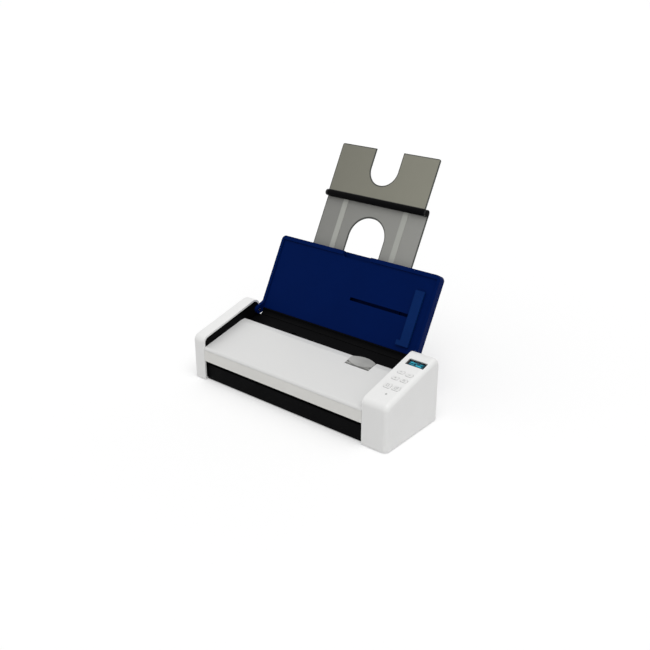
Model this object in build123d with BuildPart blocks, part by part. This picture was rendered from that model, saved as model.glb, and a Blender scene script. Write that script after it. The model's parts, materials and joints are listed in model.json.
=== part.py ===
"""Sheet-fed document scanner with a fold-up paper tray and a hinged feeder cover.

X runs to the right, Y to the back and Z up. The origin is on the table, under the
middle of the open scanner's bounding box. BODY_Y is the Y of the middle of the body.
"""

import os
from math import acos, atan2, cos, hypot, pi, radians, sin, sqrt, tan

from build123d import *

os.makedirs("parts", exist_ok=True)

# Body and end caps
BODY_W = 300.0
BODY_D = 102.0
LEFT_CAP_W = 20.0
RIGHT_CAP_W = 34.0
FOOT_H = 1.5
CAP_TOP_Z = 70.3
CAP_SLOPE = radians(14.1)
CAP_FRONT_R = 9.0
CAP_REAR_R = 10.0
CAP_EDGE_R = 6.0
CAP_WALL = 2.4
PLATE_T = 2.0
PLATE_GAP = 0.2
EDGE_R = 1.0

# Gaps shared by many pieces, and how far cuts run past a surface
FIT_GAP = 0.1
RUNNING_GAP = 0.05
SLIDE_GAP = 0.3
PAST = 1.0

# Base pan, rear cover and feet
FRONT_WALL_SETBACK = 4.0
FRONT_WALL_T = 2.4
FRONT_WALL_TOP = 21.5
REAR_WALL_T = 2.4
REAR_WALL_TOP = 59.0
REAR_WALL_R = 2.0
FLANGE_W = 11.0
FLANGE_GAP = 1.0
FOOT_R = 6.0
FOOT_RECESS = 0.8
FOOT_EDGE = 13.0
VENT_COUNT = 12
VENT_W = 2.4
VENT_H = 14.0
VENT_PITCH = 6.0
VENT_INSET = 76.0
VENT_Z = 30.0

# Paper path: a straight slope from the exit slot up to a point under the tray's hinge line
PATH_Z = 24.0
PATH_DROP = 6.62
PATH_GAP = 0.4
GUIDE_T = 2.0
GUIDE_START = 8.0
LIP_R = 6.0
LIP_T = 1.5
LIP_END = radians(9.0)
LIP_REACH = 1.6
GUIDE_SETBACK = 0.5

# Rollers, with stations along the paper path
EXIT_U = 12.0
DRIVE_U = 53.5
PICK_U = 74.0
ROLLER_R = 6.0
PICK_R = 10.0
PINCH_R = 4.0
PATH_TOUCH = 0.15
SHAFT_R = 3.0
SLEEVE_L = 24.0
SLEEVE_SHARES = (-0.293, -0.114, 0.114, 0.293)
PICK_SLEEVE_L = 40.0
PINCH_SHAFT_R = 1.5
PINCH_ROLLER_L = 20.0
PINCH_SHAFT_INSET = 26.0
SLEEVE_CHAMFER = 0.4
SHAFT_OVER = 1.0
WINDOW_GAP = 1.5
BUSH_WALL = 1.0
BUSH_FLANGE = 1.5
BUSH_FLANGE_T = 1.0

# Gear train in the right cap
MODULE = 0.7
PRESSURE = radians(20)
ADDENDUM = 0.63
DEDENDUM = 0.88
BACKLASH = 0.12
ROLLER_TEETH = 20
PICK_TEETH = 30
EXIT_IDLER_TEETH = 40
PICK_IDLER_TEETH = 20
PINION_TEETH = 14
WHEEL_TEETH = 36
GEAR_T = 4.5
GEAR_START = 4.0
GEAR_STEP = 5.0
STUD_R = 1.5
STUD_COLLAR = 0.6
STUD_TIP = 0.4
WEB_T = 1.6
RIM_T = 2.0
COMPOUND_ANGLE = radians(-20.0)
MOTOR_R = 10.0
MOTOR_L = 16.0
MOTOR_FLANGE_T = 2.5
MOTOR_EAR = 14.0
MOTOR_EAR_R = 3.5
MOTOR_SHAFT_R = 1.5
MOTOR_HOLE_R = 3.0
MOTOR_SHAFT_IN = 14.0

# Image sensors, with stations along the paper path
SENSOR_MARGIN = 10.0
SENSOR_D = 13.0
SENSOR_H = 10.0
SENSOR_U = 20.0
UPPER_SENSOR_U = 35.0
GLASS_T = 1.0
GLASS_MARGIN = 1.0
GLASS_SETBACK = 0.6
SENSOR_FIT = 0.3
GROOVE_W = 3.7
GROOVE_D = 5.0
GROOVE_INSET = 2.0

# Feeder cover
COVER_GAP = 0.4
COVER_WALL = 2.2
COVER_FRONT_Z = 45.2
COVER_KINK_AHEAD = 9.5
COVER_KINK_Z = 60.6
COVER_REAR_INSET = 26.5
COVER_REAR_Z = 61.4
COVER_FRONT_R = 4.0
COVER_REAR_R = 3.0
SKIRT_CLEAR = 2.6
BEZEL_Z = 26.8
CREASE_Z = 42.0
CREASE_GAP = 0.3
COVER_PIVOT_INSET = 5.0
COVER_PIVOT_Z = 29.0
COVER_PIN_R = 1.25
COVER_EAR_R = 3.3
CHEEK_T = 3.0
RIB_T = 2.0

# Release lever in the cover
LEVER_INSET = 51.0
LEVER_W = 34.0
LEVER_FRONT_AHEAD = 8.2
LEVER_PIVOT_AHEAD = 6.4
LEVER_PIVOT_DROP = 4.8
LEVER_RISE = 0.9
LEVER_T = 2.4
LEVER_FRONT_GAP = 1.6
LEVER_SIDE_GAP = 0.4
LEVER_PIN_R = 1.2
LEVER_RIB_HALF = 2.2
LEVER_PIN_L = 2.6
LEVER_BAR_R = 1.8
LEVER_BOW = 5.0
LEVER_OVERHANG = 0.5
TONGUE_W = 4.0
TONGUE_T = 2.0
TONGUE_REACH = 2.65
TONGUE_SHIFT = 15.0
TONGUE_BEFORE = 3.0
TONGUE_AFTER = 5.0

# Separation arm and paper sensor flag
ARM_HALF = 20.0
ARM_PIVOT_U = 63.0
ARM_PIVOT_V = 5.0
ARM_END_U = 79.0
ARM_V = 3.2
ARM_T = 1.5
ARM_PIN_R = 1.5
ARM_PIN_L = 4.0
ARM_RIB = 3.0
ARM_BAR_R = 2.5
PAD_HALF = 15.0
PAD_U = 70.5
PAD_L = 7.0
PAD_V = 0.25
FLAG_SHARE = -0.2
FLAG_PIVOT_U = 89.0
FLAG_PIVOT_V = -5.0
FLAG_TIP_V = 3.0
FLAG_T = 2.5
FLAG_PIN_R = 1.2
FLAG_PIN_HALF = 4.6
FLAG_RIB = 2.6
FLAG_HUB_R = 1.9
FLAG_TIP_R = 0.8
FLAG_TIP_AHEAD = 1.0
FLAG_BEFORE = 8.5
FLAG_AFTER = 4.0

# Tray, which is also the lid
HINGE_INSET = 5.0
HINGE_Z = 66.5
TRAY_LEAN = radians(28.4)
TRAY_GAP = 0.5
TRAY_START = 5.0
LID_OVERHANG = 6.1
TRAY_SETBACK = 4.7
TRAY_T = 10.8
TRAY_CORNER_R = 6.0
TRAY_RIM = 4.0
TRAY_TOP_RIM = 5.0
TRAY_WALL = 2.0
FLOOR_DEPTH = 1.6
FLOOR_T = 1.4
BACK_T = 1.6
BACK_START = -2.0
EAR_R = 5.2
EAR_T = 4.0
LID_PIN_R = 2.0
NOTCH_W = 42.0
NOTCH_D = 7.5
NOTCH_R = 4.0
BOSS_INSET = 17.5
BOSS_R = 3.2
BOSS_LOW = 20.0
BOSS_BELOW = 13.1

# Paper guide on the tray
GUIDE_INSET = 14.0
GUIDE_LIP_W = 12.5
GUIDE_LIP_T = 1.2
GUIDE_FENCE_T = 1.5
GUIDE_LOW = 12.0
GUIDE_BELOW = 23.1
GUIDE_FOOT_W = 5.0
GUIDE_FOOT_H = 6.0
GUIDE_SLOT_T = 48.0
GUIDE_SLOT_H = 4.0
GUIDE_REST = 13.5
STEM_W = 4.5
CARRIAGE_W = 20.0
CARRIAGE_H = 16.0
CARRIAGE_T = 1.0

# Paper extension
EXT_W = 152.5
EXT_T = 1.8
EXT_DEPTH = 6.9
EXT_BELOW = 28.1
BAR_ABOVE = 68.0
BAR_DEPTH = 3.65
BAR_R = 4.0
BAR_GAP = 0.5
ROD_R = 1.2
ROD_HEAD_R = 3.6
ROD_HEAD_T = 0.8
KNUCKLE_W = 2.5
KNUCKLE_GAP = 0.3
ARCH_W = 54.0
ARCH_UNDER_BAR = 20.6
ARCH_BELOW = 17.1
ARCH_R = 26.0
ARCH_FOOT_R = 2.0
STRIPE_X = 46.0
STRIPE_W = 8.0
STRIPE_H = 0.4
FLAP_T = 1.6
FLAP_DEPTH = 1.1
FLAP_L = 65.4
FLAP_R = 2.5
FLAP_NOTCH_W = 41.0
FLAP_NOTCH_ABOVE = 20.7
FLAP_NOTCH_R = 20.0
RAIL_W = 2.0
RAIL_START = 30.0
RAIL_GAP = 0.3

# Control panel on the right cap
KEY_W = 9.0
KEY_H = 5.6
SCAN_KEY_H = 8.0
KEY_R = 2.4
KEY_PROUD = 0.6
KEY_GAP = 0.3
KEY_FLANGE = 0.8
KEY_FLANGE_T = 1.2
KEY_STEM_R = 1.5
KEY_FLANGE_GAP = 0.3
KEY_TRAVEL = 0.5
KEY_EDGE_R = 0.5
KEY_LEFT = -5.0
KEY_RIGHT = 6.5
BOARD_T = 1.2
PANEL_BOARD_V = -6.3
PANEL_BOARD_W = 26.0
PANEL_BOARD_LOW = -38.0
PANEL_BOARD_HIGH = 33.0
SWITCH_H = 0.8
SWITCH_R = 2.2
DISPLAY_W = 24.0
DISPLAY_H = 10.8
DISPLAY_X = 1.5
DISPLAY_Y = 25.5
DISPLAY_LENS_T = 1.4
DISPLAY_SUNK = 0.1
DISPLAY_R = 1.0
LIGHT_R = 1.2
LIGHT_X = 1.7
LIGHT_Y = -33.6
POST_R = 2.0
POST_XS = (-10.5, 11.0)
POST_YS = (-13.0, 13.0)

# Main board and its socket
MAIN_LEFT_INSET = 30.0
MAIN_RIGHT_INSET = 66.0
MAIN_FRONT_INSET = 21.0
MAIN_REAR_INSET = 7.0
MAIN_Z = 8.1
MAIN_T = 1.6
MAIN_POST_R = 3.0
MAIN_POST_INSET = 6.0
CHIP_H = 2.0
USB_INSET = 46.0
USB_W = 12.0
USB_H = 11.0
USB_L = 16.0
USB_WALL = 0.6
USB_GAP = 0.3
USB_REAR_T = 4.0
USB_CORE_W = 5.8
USB_CORE_H = 3.2
USB_CORE_SETBACK = 1.5

# Screws, all alike
SCREW_R = 1.25
SCREW_L = 6.0
SCREW_HEAD_R = 2.4
SCREW_HEAD_H = 1.5
SCREW_SLOT_L = 2.4
SCREW_SLOT_W = 0.5
SCREW_SLOT_D = 0.7
CAP_BOSS_R = 3.5
CAP_SCREWS = ((-38.0, 9.5), (38.0, 12.0), (40.0, 42.0))
PAN_SCREW_Y = 36.0
PAN_SCREW_INSET = 6.0
TRAY_SCREW_L = 4.0

# Places worked out from the sizes
LEFT = -BODY_W / 2
RIGHT = BODY_W / 2
BAY_LEFT = LEFT + LEFT_CAP_W
BAY_RIGHT = RIGHT - RIGHT_CAP_W
BAY_W = BAY_RIGHT - BAY_LEFT
BAY_X = (BAY_LEFT + BAY_RIGHT) / 2
FRONT = -BODY_D / 2
BACK = BODY_D / 2
PAN_FRONT = FRONT + FRONT_WALL_SETBACK
PLATE_INSET = CAP_WALL + PLATE_GAP
FLOOR_Z = FOOT_H + PLATE_INSET
COVER_LEFT = BAY_LEFT + COVER_GAP
COVER_W = BAY_W - 2 * COVER_GAP
TRAY_LEFT = BAY_LEFT + TRAY_GAP
TRAY_RIGHT = BAY_RIGHT - TRAY_GAP
TRAY_W = TRAY_RIGHT - TRAY_LEFT
FLOOR_BACK = FLOOR_DEPTH + FLOOR_T
BACK_DEPTH = TRAY_T - BACK_T
PANEL_X = (BAY_RIGHT + RIGHT) / 2
BUSH_R = SHAFT_R + RUNNING_GAP + BUSH_WALL
VENT_X = BAY_RIGHT - VENT_INSET
MAIN_X0 = BAY_LEFT + MAIN_LEFT_INSET
MAIN_X1 = BAY_RIGHT - MAIN_RIGHT_INSET
MAIN_Y0 = FRONT + MAIN_FRONT_INSET
MAIN_Y1 = BACK - MAIN_REAR_INSET
USB_X = MAIN_X0 + USB_INSET
SENSOR_L = BAY_W - 2 * SENSOR_MARGIN
SLEEVE_XS = [BAY_X + share * BAY_W for share in SLEEVE_SHARES]
PINCH_SHAFT_HALF = BAY_W / 2 - PINCH_SHAFT_INSET
FLAG_X = BAY_X + FLAG_SHARE * BAY_W

# The same for the paper path, the feeder cover and its lever
HINGE_Y = BACK - HINGE_INSET
COVER_REAR_Y = BACK - COVER_REAR_INSET
COVER_KINK_Y = COVER_REAR_Y - COVER_KINK_AHEAD
COVER_PIVOT_Y = FRONT + COVER_PIVOT_INSET
PATH_TILT = atan2(HINGE_Z - PATH_DROP - PATH_Z, HINGE_Y - FRONT)
LOWER_GUIDE_END = (HINGE_Y - FRONT) / cos(PATH_TILT) + LIP_REACH
UPPER_GUIDE_END = (COVER_REAR_Y - FRONT) / cos(PATH_TILT) - GUIDE_SETBACK
LEVER_X = BAY_RIGHT - LEVER_INSET
LEVER_FRONT_Y = COVER_KINK_Y - LEVER_FRONT_AHEAD
LEVER_PIVOT_Y = COVER_KINK_Y - LEVER_PIVOT_AHEAD
TONGUE_X = LEVER_X + TONGUE_SHIFT
TONGUE_TIP_Z = PATH_Z + (LEVER_PIVOT_Y - FRONT) * tan(PATH_TILT) - TONGUE_REACH

# The same for the tray, its paper guide and the extension
TRAY_END = HINGE_Y - FRONT + LID_OVERHANG
BOSS_X = TRAY_W / 2 - BOSS_INSET
GUIDE_X = TRAY_RIGHT - GUIDE_INSET
GUIDE_TRAVEL = GUIDE_X - BAY_X - GUIDE_REST
GUIDE_HIGH = TRAY_END - GUIDE_BELOW
EXT_START = TRAY_END - EXT_BELOW
BAR_T = TRAY_END + BAR_ABOVE
ARCH_TOP = BAR_T - ARCH_UNDER_BAR
ARCH_BOTTOM = TRAY_END - ARCH_BELOW
FLAP_END = BAR_T + FLAP_L
FLAP_NOTCH_BOTTOM = BAR_T + FLAP_NOTCH_ABOVE
OPEN_REACH = HINGE_Y + FLAP_END * sin(TRAY_LEAN) + (TRAY_SETBACK + FLAP_DEPTH + FLAP_T) * cos(TRAY_LEAN)
BODY_Y = -(FRONT + OPEN_REACH) / 2


def side(x):
    """Plane across the body at x: its own x points back and its own y points up."""
    return Plane(origin=(x, BODY_Y, 0), x_dir=(0, 1, 0), z_dir=(1, 0, 0))


def level(z):
    """Level plane at height z."""
    return Plane(origin=(0, BODY_Y, z), x_dir=(1, 0, 0), z_dir=(0, 0, 1))


def facing(y):
    """Upright plane at depth y that faces the front."""
    return Plane(origin=(0, BODY_Y + y, 0), x_dir=(1, 0, 0), z_dir=(0, -1, 0))


def path_side(x):
    """Plane across the body at x, with its own x along the paper path."""
    return Plane(
        origin=(x, BODY_Y + FRONT, PATH_Z),
        x_dir=(0, cos(PATH_TILT), sin(PATH_TILT)),
        z_dir=(1, 0, 0),
    )


def path_face(v):
    """Plane along the paper path, v above it, with its own y along the path."""
    return Plane(
        origin=(0, BODY_Y + FRONT - v * sin(PATH_TILT), PATH_Z + v * cos(PATH_TILT)),
        x_dir=(1, 0, 0),
        z_dir=(0, -sin(PATH_TILT), cos(PATH_TILT)),
    )


def on_path(u, v):
    """Depth and height of the point u along the paper path and v above it."""
    y = FRONT + u * cos(PATH_TILT) - v * sin(PATH_TILT)
    z = PATH_Z + u * sin(PATH_TILT) + v * cos(PATH_TILT)
    return y, z


def to_path(y, z):
    """Station along the paper path, and height above it, of a depth and a height."""
    u = (y - FRONT) * cos(PATH_TILT) + (z - PATH_Z) * sin(PATH_TILT)
    v = (z - PATH_Z) * cos(PATH_TILT) - (y - FRONT) * sin(PATH_TILT)
    return u, v


def tray_side(x):
    """Plane across the tray at x: its own x runs up the tray from the hinge."""
    return Plane(
        origin=(x, BODY_Y + HINGE_Y, HINGE_Z),
        x_dir=(0, sin(TRAY_LEAN), cos(TRAY_LEAN)),
        z_dir=(1, 0, 0),
    )


def tray_face(depth):
    """Plane along the tray, depth behind its front, with its own y up the tray."""
    back = TRAY_SETBACK + depth
    return Plane(
        origin=(0, BODY_Y + HINGE_Y + back * cos(TRAY_LEAN), HINGE_Z - back * sin(TRAY_LEAN)),
        x_dir=(1, 0, 0),
        z_dir=(0, -cos(TRAY_LEAN), sin(TRAY_LEAN)),
    )


def panel_face(v):
    """Plane along the top of the right cap, v above it, with its own y up the slope."""
    return Plane(
        origin=(PANEL_X, BODY_Y - v * sin(CAP_SLOPE), CAP_TOP_Z + v * cos(CAP_SLOPE)),
        x_dir=(1, 0, 0),
        z_dir=(0, -sin(CAP_SLOPE), cos(CAP_SLOPE)),
    )


def cap_top(y):
    """Height of the cap tops at depth y."""
    return CAP_TOP_Z + y * tan(CAP_SLOPE)


def block(plane, x0, y0, x1, y1, height):
    """Add a plain block on a plane to the part that is being built."""
    with BuildSketch(plane) as outline:
        with Locations(((x0 + x1) / 2, (y0 + y1) / 2)):
            Rectangle(x1 - x0, y1 - y0)
    extrude(outline.sketch, amount=height)


def opening(plane, x0, y0, x1, y1, height):
    """Cut a plain block on a plane out of the part that is being built."""
    with BuildSketch(plane) as outline:
        with Locations(((x0 + x1) / 2, (y0 + y1) / 2)):
            Rectangle(x1 - x0, y1 - y0)
    extrude(outline.sketch, amount=height, mode=Mode.SUBTRACT)


def rod(plane, x, y, radius, height):
    """Add a round bar on a plane to the part that is being built."""
    with BuildSketch(plane) as outline:
        with Locations((x, y)):
            Circle(radius)
    extrude(outline.sketch, amount=height)


def hole(plane, x, y, radius, height):
    """Cut a round hole on a plane out of the part that is being built."""
    with BuildSketch(plane) as outline:
        with Locations((x, y)):
            Circle(radius)
    extrude(outline.sketch, amount=height, mode=Mode.SUBTRACT)


def finish(part, name):
    """Label a finished piece and write it out."""
    part.label = name
    export_step(part, f"parts/{name}.step")


def nearest(outline, x, y):
    """Corner of a sketch that lies nearest to a point of its own plane."""
    return outline.vertices().sort_by(lambda corner: hypot(corner.X - x, corner.Y - y))[0]


def cap_outline(inset):
    """Side outline of an end cap, drawn inset from its outer face."""
    with BuildSketch() as outline:
        Polygon(
            (FRONT, FOOT_H),
            (FRONT, cap_top(FRONT)),
            (BACK, cap_top(BACK)),
            (BACK, FOOT_H),
            align=None,
        )
        fillet(nearest(outline, FRONT, cap_top(FRONT)), radius=CAP_FRONT_R)
        fillet(nearest(outline, BACK, cap_top(BACK)), radius=CAP_REAR_R)
        if inset:
            offset(amount=-inset, kind=Kind.INTERSECTION)
    return outline.sketch


def cap_block(x, width, inset, round_r):
    """Block with a cap's outline that starts, rounded, at x and runs for width."""
    with BuildPart() as cap:
        with BuildSketch(side(x)):
            add(cap_outline(inset))
        extrude(amount=width)
        outer = cap.faces().sort_by(Axis.X)[0 if width > 0 else -1]
        fillet(outer.edges().sort_by(Axis.Z)[1:], radius=round_r)
    return cap.part


# End caps: rounded shells, open towards the bay, with bosses for the side plates
def end_cap(outer_x, width, plate_x):
    """Hollow end cap from its outer face at outer_x towards the bay."""
    inward = 1 if width > 0 else -1
    with BuildPart() as cap:
        add(cap_block(outer_x, width, 0, CAP_EDGE_R))
        cavity_x = outer_x + inward * CAP_WALL
        add(
            cap_block(cavity_x, width - inward * CAP_WALL, CAP_WALL, CAP_EDGE_R - CAP_WALL),
            mode=Mode.SUBTRACT,
        )
        for y, z in CAP_SCREWS:
            rod(side(plate_x), y, z, CAP_BOSS_R, cavity_x - plate_x)
            hole(side(plate_x), y, z, SCREW_R, -inward * SCREW_L)
        for y in (FRONT + FOOT_EDGE, BACK - FOOT_EDGE):
            hole(level(FOOT_H), outer_x + inward * FOOT_EDGE, y, FOOT_R + FIT_GAP, FOOT_RECESS)
    return cap.part


left_end_cap = end_cap(LEFT, LEFT_CAP_W, BAY_LEFT - PLATE_T)
finish(left_end_cap, "left_end_cap")

# The keys: name, place on the panel and height
KEYS = (
    ("key_up", KEY_LEFT, 5.2, KEY_H),
    ("key_down", KEY_RIGHT, 4.4, KEY_H),
    ("key_cancel", KEY_LEFT, -6.3, KEY_H),
    ("key_menu", KEY_RIGHT, -6.3, KEY_H),
    ("key_simplex", KEY_LEFT, -21.0, SCAN_KEY_H),
    ("key_duplex", KEY_RIGHT, -21.0, SCAN_KEY_H),
)


def key_shape(x, y, height, grow):
    """Rounded key outline, grown by a margin, in the sketch that is being drawn."""
    with Locations((x, y)):
        RectangleRounded(KEY_W + 2 * grow, height + 2 * grow, KEY_R + grow)


with BuildPart() as right_end_cap:
    add(end_cap(RIGHT, -RIGHT_CAP_W, BAY_RIGHT + PLATE_T))
    for name, x, y, height in KEYS:
        with BuildSketch(panel_face(PAST)):
            key_shape(x, y, height, KEY_GAP)
        extrude(amount=-CAP_WALL - 2 * PAST, mode=Mode.SUBTRACT)
    with BuildSketch(panel_face(PAST)):
        with Locations((DISPLAY_X, DISPLAY_Y)):
            RectangleRounded(DISPLAY_W, DISPLAY_H, DISPLAY_R)
    extrude(amount=-CAP_WALL - 2 * PAST, mode=Mode.SUBTRACT)
    hole(panel_face(PAST), LIGHT_X, LIGHT_Y, LIGHT_R + FIT_GAP, -CAP_WALL - 2 * PAST)
    for x in POST_XS:
        for y in POST_YS:
            rod(panel_face(-CAP_WALL / 2), x, y, POST_R, PANEL_BOARD_V + CAP_WALL / 2)
finish(right_end_cap.part, "right_end_cap")

# Where the shafts stand, seen from the side
EXIT_AT = on_path(EXIT_U, -PATH_TOUCH - ROLLER_R)
DRIVE_AT = on_path(DRIVE_U, -PATH_TOUCH - ROLLER_R)
PICK_AT = on_path(PICK_U, -PATH_TOUCH - PICK_R)
ROLLERS_AT = (EXIT_AT, DRIVE_AT, PICK_AT)


def pitch_r(teeth):
    """Pitch radius of a gear."""
    return MODULE * teeth / 2


def between(a, reach_a, b, reach_b, turn):
    """Point at reach_a from a and reach_b from b, left of the line when turn is 1."""
    span = hypot(b[0] - a[0], b[1] - a[1])
    along = (span**2 + reach_a**2 - reach_b**2) / (2 * span)
    aside = turn * (reach_a**2 - along**2) ** 0.5
    ux, uy = (b[0] - a[0]) / span, (b[1] - a[1]) / span
    return a[0] + along * ux - aside * uy, a[1] + along * uy + aside * ux


def direction(a, b):
    """Angle from the point a to the point b."""
    return atan2(b[1] - a[1], b[0] - a[0])


IDLER_REACH = pitch_r(ROLLER_TEETH) + pitch_r(EXIT_IDLER_TEETH)
EXIT_IDLER_AT = between(EXIT_AT, IDLER_REACH, DRIVE_AT, IDLER_REACH, -1)
PICK_IDLER_AT = between(
    DRIVE_AT,
    pitch_r(ROLLER_TEETH) + pitch_r(PICK_IDLER_TEETH),
    PICK_AT,
    pitch_r(PICK_TEETH) + pitch_r(PICK_IDLER_TEETH),
    1,
)
COMPOUND_REACH = pitch_r(EXIT_IDLER_TEETH) + pitch_r(PINION_TEETH)
COMPOUND_AT = (
    EXIT_IDLER_AT[0] + COMPOUND_REACH * cos(COMPOUND_ANGLE),
    EXIT_IDLER_AT[1] + COMPOUND_REACH * sin(COMPOUND_ANGLE),
)
MOTOR_AT = (COMPOUND_AT[0] + pitch_r(WHEEL_TEETH) + pitch_r(PINION_TEETH), COMPOUND_AT[1])


# Side plates: they carry the shafts, the pins and the gear studs
def side_plate(inner_x, outward):
    """Plate whose bay face is at inner_x, with a foot flange towards the bay."""
    outer_x = inner_x + outward * PLATE_T
    with BuildPart() as plate:
        with BuildSketch(side(inner_x)):
            add(cap_outline(PLATE_INSET))
        extrude(amount=outward * PLATE_T)
        flange_x = sorted((inner_x, inner_x - outward * FLANGE_W))
        flange_y = (PAN_FRONT + FRONT_WALL_T, BACK - REAR_WALL_T - FLANGE_GAP)
        block(level(FLOOR_Z), flange_x[0], flange_y[0], flange_x[1], flange_y[1], PLATE_T)
        for y, z in ROLLERS_AT:
            hole(side(outer_x), y, z, BUSH_R, -outward * PLATE_T)
        for y, z in CAP_SCREWS:
            hole(side(outer_x), y, z, SCREW_R + FIT_GAP, -outward * PLATE_T)
        hole(side(outer_x), HINGE_Y, HINGE_Z, LID_PIN_R, -outward * PLATE_T)
        hole(side(outer_x), COVER_PIVOT_Y, COVER_PIVOT_Z, COVER_PIN_R, -outward * PLATE_T)
        for y in (-PAN_SCREW_Y, PAN_SCREW_Y):
            hole(level(FLOOR_Z), inner_x - outward * PAN_SCREW_INSET, y, SCREW_R, PLATE_T)
    return plate.part


left_side_plate = side_plate(BAY_LEFT, -1)
finish(left_side_plate, "left_side_plate")

GEAR_X = BAY_RIGHT + GEAR_START
WHEEL_X = GEAR_X + GEAR_STEP
STUD_END = WHEEL_X + GEAR_T + SHAFT_OVER

with BuildPart() as right_side_plate:
    add(side_plate(BAY_RIGHT, 1))
    hole(side(BAY_RIGHT), *MOTOR_AT, MOTOR_HOLE_R, PLATE_T)
    for turn in (-1, 1):
        hole(side(BAY_RIGHT), MOTOR_AT[0] + turn * MOTOR_EAR, MOTOR_AT[1], SCREW_R, PLATE_T)
    for y, z in (EXIT_IDLER_AT, PICK_IDLER_AT, COMPOUND_AT):
        rod(side(BAY_RIGHT + PLATE_T), y, z, STUD_R + STUD_COLLAR, GEAR_START - PLATE_T - SLIDE_GAP)
    rod(side(BAY_RIGHT), *EXIT_IDLER_AT, STUD_R, GEAR_START + GEAR_T + STUD_TIP)
    rod(side(BAY_RIGHT), *PICK_IDLER_AT, STUD_R, GEAR_START + GEAR_T + STUD_TIP)
    rod(side(BAY_RIGHT), *COMPOUND_AT, STUD_R, STUD_END - BAY_RIGHT)
finish(right_side_plate.part, "right_side_plate")

# Base pan: floor, black front wall and board posts
MAIN_POSTS = [
    (x, y)
    for x in (MAIN_X0 + MAIN_POST_INSET, MAIN_X1 - MAIN_POST_INSET)
    for y in (MAIN_Y0 + MAIN_POST_INSET, MAIN_Y1 - MAIN_POST_INSET)
]
PAN_SCREWS = [
    (x, y)
    for x in (BAY_LEFT + PAN_SCREW_INSET, BAY_RIGHT - PAN_SCREW_INSET)
    for y in (-PAN_SCREW_Y, PAN_SCREW_Y)
]

with BuildPart() as base_pan:
    block(level(FOOT_H), BAY_LEFT, PAN_FRONT, BAY_RIGHT, BACK - REAR_WALL_T, PLATE_INSET)
    block(level(FOOT_H), BAY_LEFT, PAN_FRONT, BAY_RIGHT, PAN_FRONT + FRONT_WALL_T, FRONT_WALL_TOP - FOOT_H)
    fillet(base_pan.edges().filter_by(Axis.X).sort_by(Axis.Z)[-1], radius=EDGE_R)
    for x, y in MAIN_POSTS:
        rod(level(FLOOR_Z), x, y, MAIN_POST_R, MAIN_Z - FLOOR_Z)
        hole(level(MAIN_Z), x, y, SCREW_R, MAIN_T - SCREW_L)
    for x, y in PAN_SCREWS:
        hole(level(FOOT_H), x, y, SCREW_R + FIT_GAP, PLATE_INSET)
        hole(level(FOOT_H), x, y, SCREW_HEAD_R + FIT_GAP, SCREW_HEAD_H + FIT_GAP)
finish(base_pan.part, "base_pan")

# Rear cover with vents and the socket's cut-out
USB_Z = MAIN_Z + MAIN_T

with BuildPart() as rear_cover:
    block(facing(BACK), BAY_LEFT, FOOT_H, BAY_RIGHT, REAR_WALL_TOP, REAR_WALL_T)
    fillet(rear_cover.edges().filter_by(Axis.X).group_by(Axis.Z)[-1].sort_by(Axis.Y)[-1], radius=REAR_WALL_R)
    with BuildSketch(facing(BACK)):
        with Locations((VENT_X, VENT_Z)):
            with GridLocations(VENT_PITCH, 1, VENT_COUNT, 1):
                SlotOverall(VENT_H, VENT_W, rotation=90)
    extrude(amount=REAR_WALL_T, mode=Mode.SUBTRACT)
    opening(
        facing(BACK),
        USB_X - USB_W / 2 - USB_GAP,
        USB_Z - USB_GAP,
        USB_X + USB_W / 2 + USB_GAP,
        USB_Z + USB_H + USB_GAP,
        REAR_WALL_T,
    )
finish(rear_cover.part, "rear_cover")

with BuildPart() as rubber_feet:
    for x in (LEFT + FOOT_EDGE, RIGHT - FOOT_EDGE):
        for y in (FRONT + FOOT_EDGE, BACK - FOOT_EDGE):
            rod(level(0), x, y, FOOT_R, FOOT_H + FOOT_RECESS)
finish(rubber_feet.part, "rubber_feet")


# Lower paper guide: a sloping plate with windows for rollers, sensor and flag
def roller_windows(plane, u, half_u, xs, length, depth):
    """Cut one window at each x for the sleeves of a roller at station u."""
    for x in xs:
        half_x = length / 2 + WINDOW_GAP
        opening(plane, x - half_x, u - half_u, x + half_x, u + half_u, depth)


def tongue_window(plane, depth):
    """Cut the window through which the latch tongue reaches."""
    tongue_u = (LEVER_PIVOT_Y - FRONT) / cos(PATH_TILT)
    tongue_half = TONGUE_W / 2 + SLIDE_GAP
    opening(
        plane,
        TONGUE_X - tongue_half,
        tongue_u - TONGUE_BEFORE,
        TONGUE_X + tongue_half,
        tongue_u + TONGUE_AFTER,
        depth,
    )


def pivot_rib(x, u0, v0, u1, v1, u, v, radius):
    """Add a thin rib across the body with a pivot hole in it."""
    with BuildSketch(path_side(x - RIB_T / 2)) as outline:
        with Locations(((u0 + u1) / 2, (v0 + v1) / 2)):
            Rectangle(u1 - u0, v1 - v0)
        with Locations((u, v)):
            Circle(radius, mode=Mode.SUBTRACT)
    extrude(outline.sketch, amount=RIB_T)


def lip_outline():
    """Side outline of the curved lip that leads from the guide up to the tray."""
    guide_end = on_path(LOWER_GUIDE_END, -PATH_GAP)
    start = atan2(guide_end[1] - HINGE_Z, guide_end[0] - HINGE_Y)
    outer_r = LIP_R + LIP_T

    def about_hinge(radius, angle):
        """Point at a radius and angle from the tray's hinge line."""
        return HINGE_Y + radius * cos(angle), HINGE_Z + radius * sin(angle)

    middle = (start + LIP_END) / 2
    with BuildSketch() as outline:
        with BuildLine():
            inner = ThreePointArc(*(about_hinge(LIP_R, angle) for angle in (start, middle, LIP_END)))
            outer = ThreePointArc(*(about_hinge(outer_r, angle) for angle in (start, middle, LIP_END)))
            Line(inner @ 0, outer @ 0)
            Line(inner @ 1, outer @ 1)
        make_face()
    return outline.sketch


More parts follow.
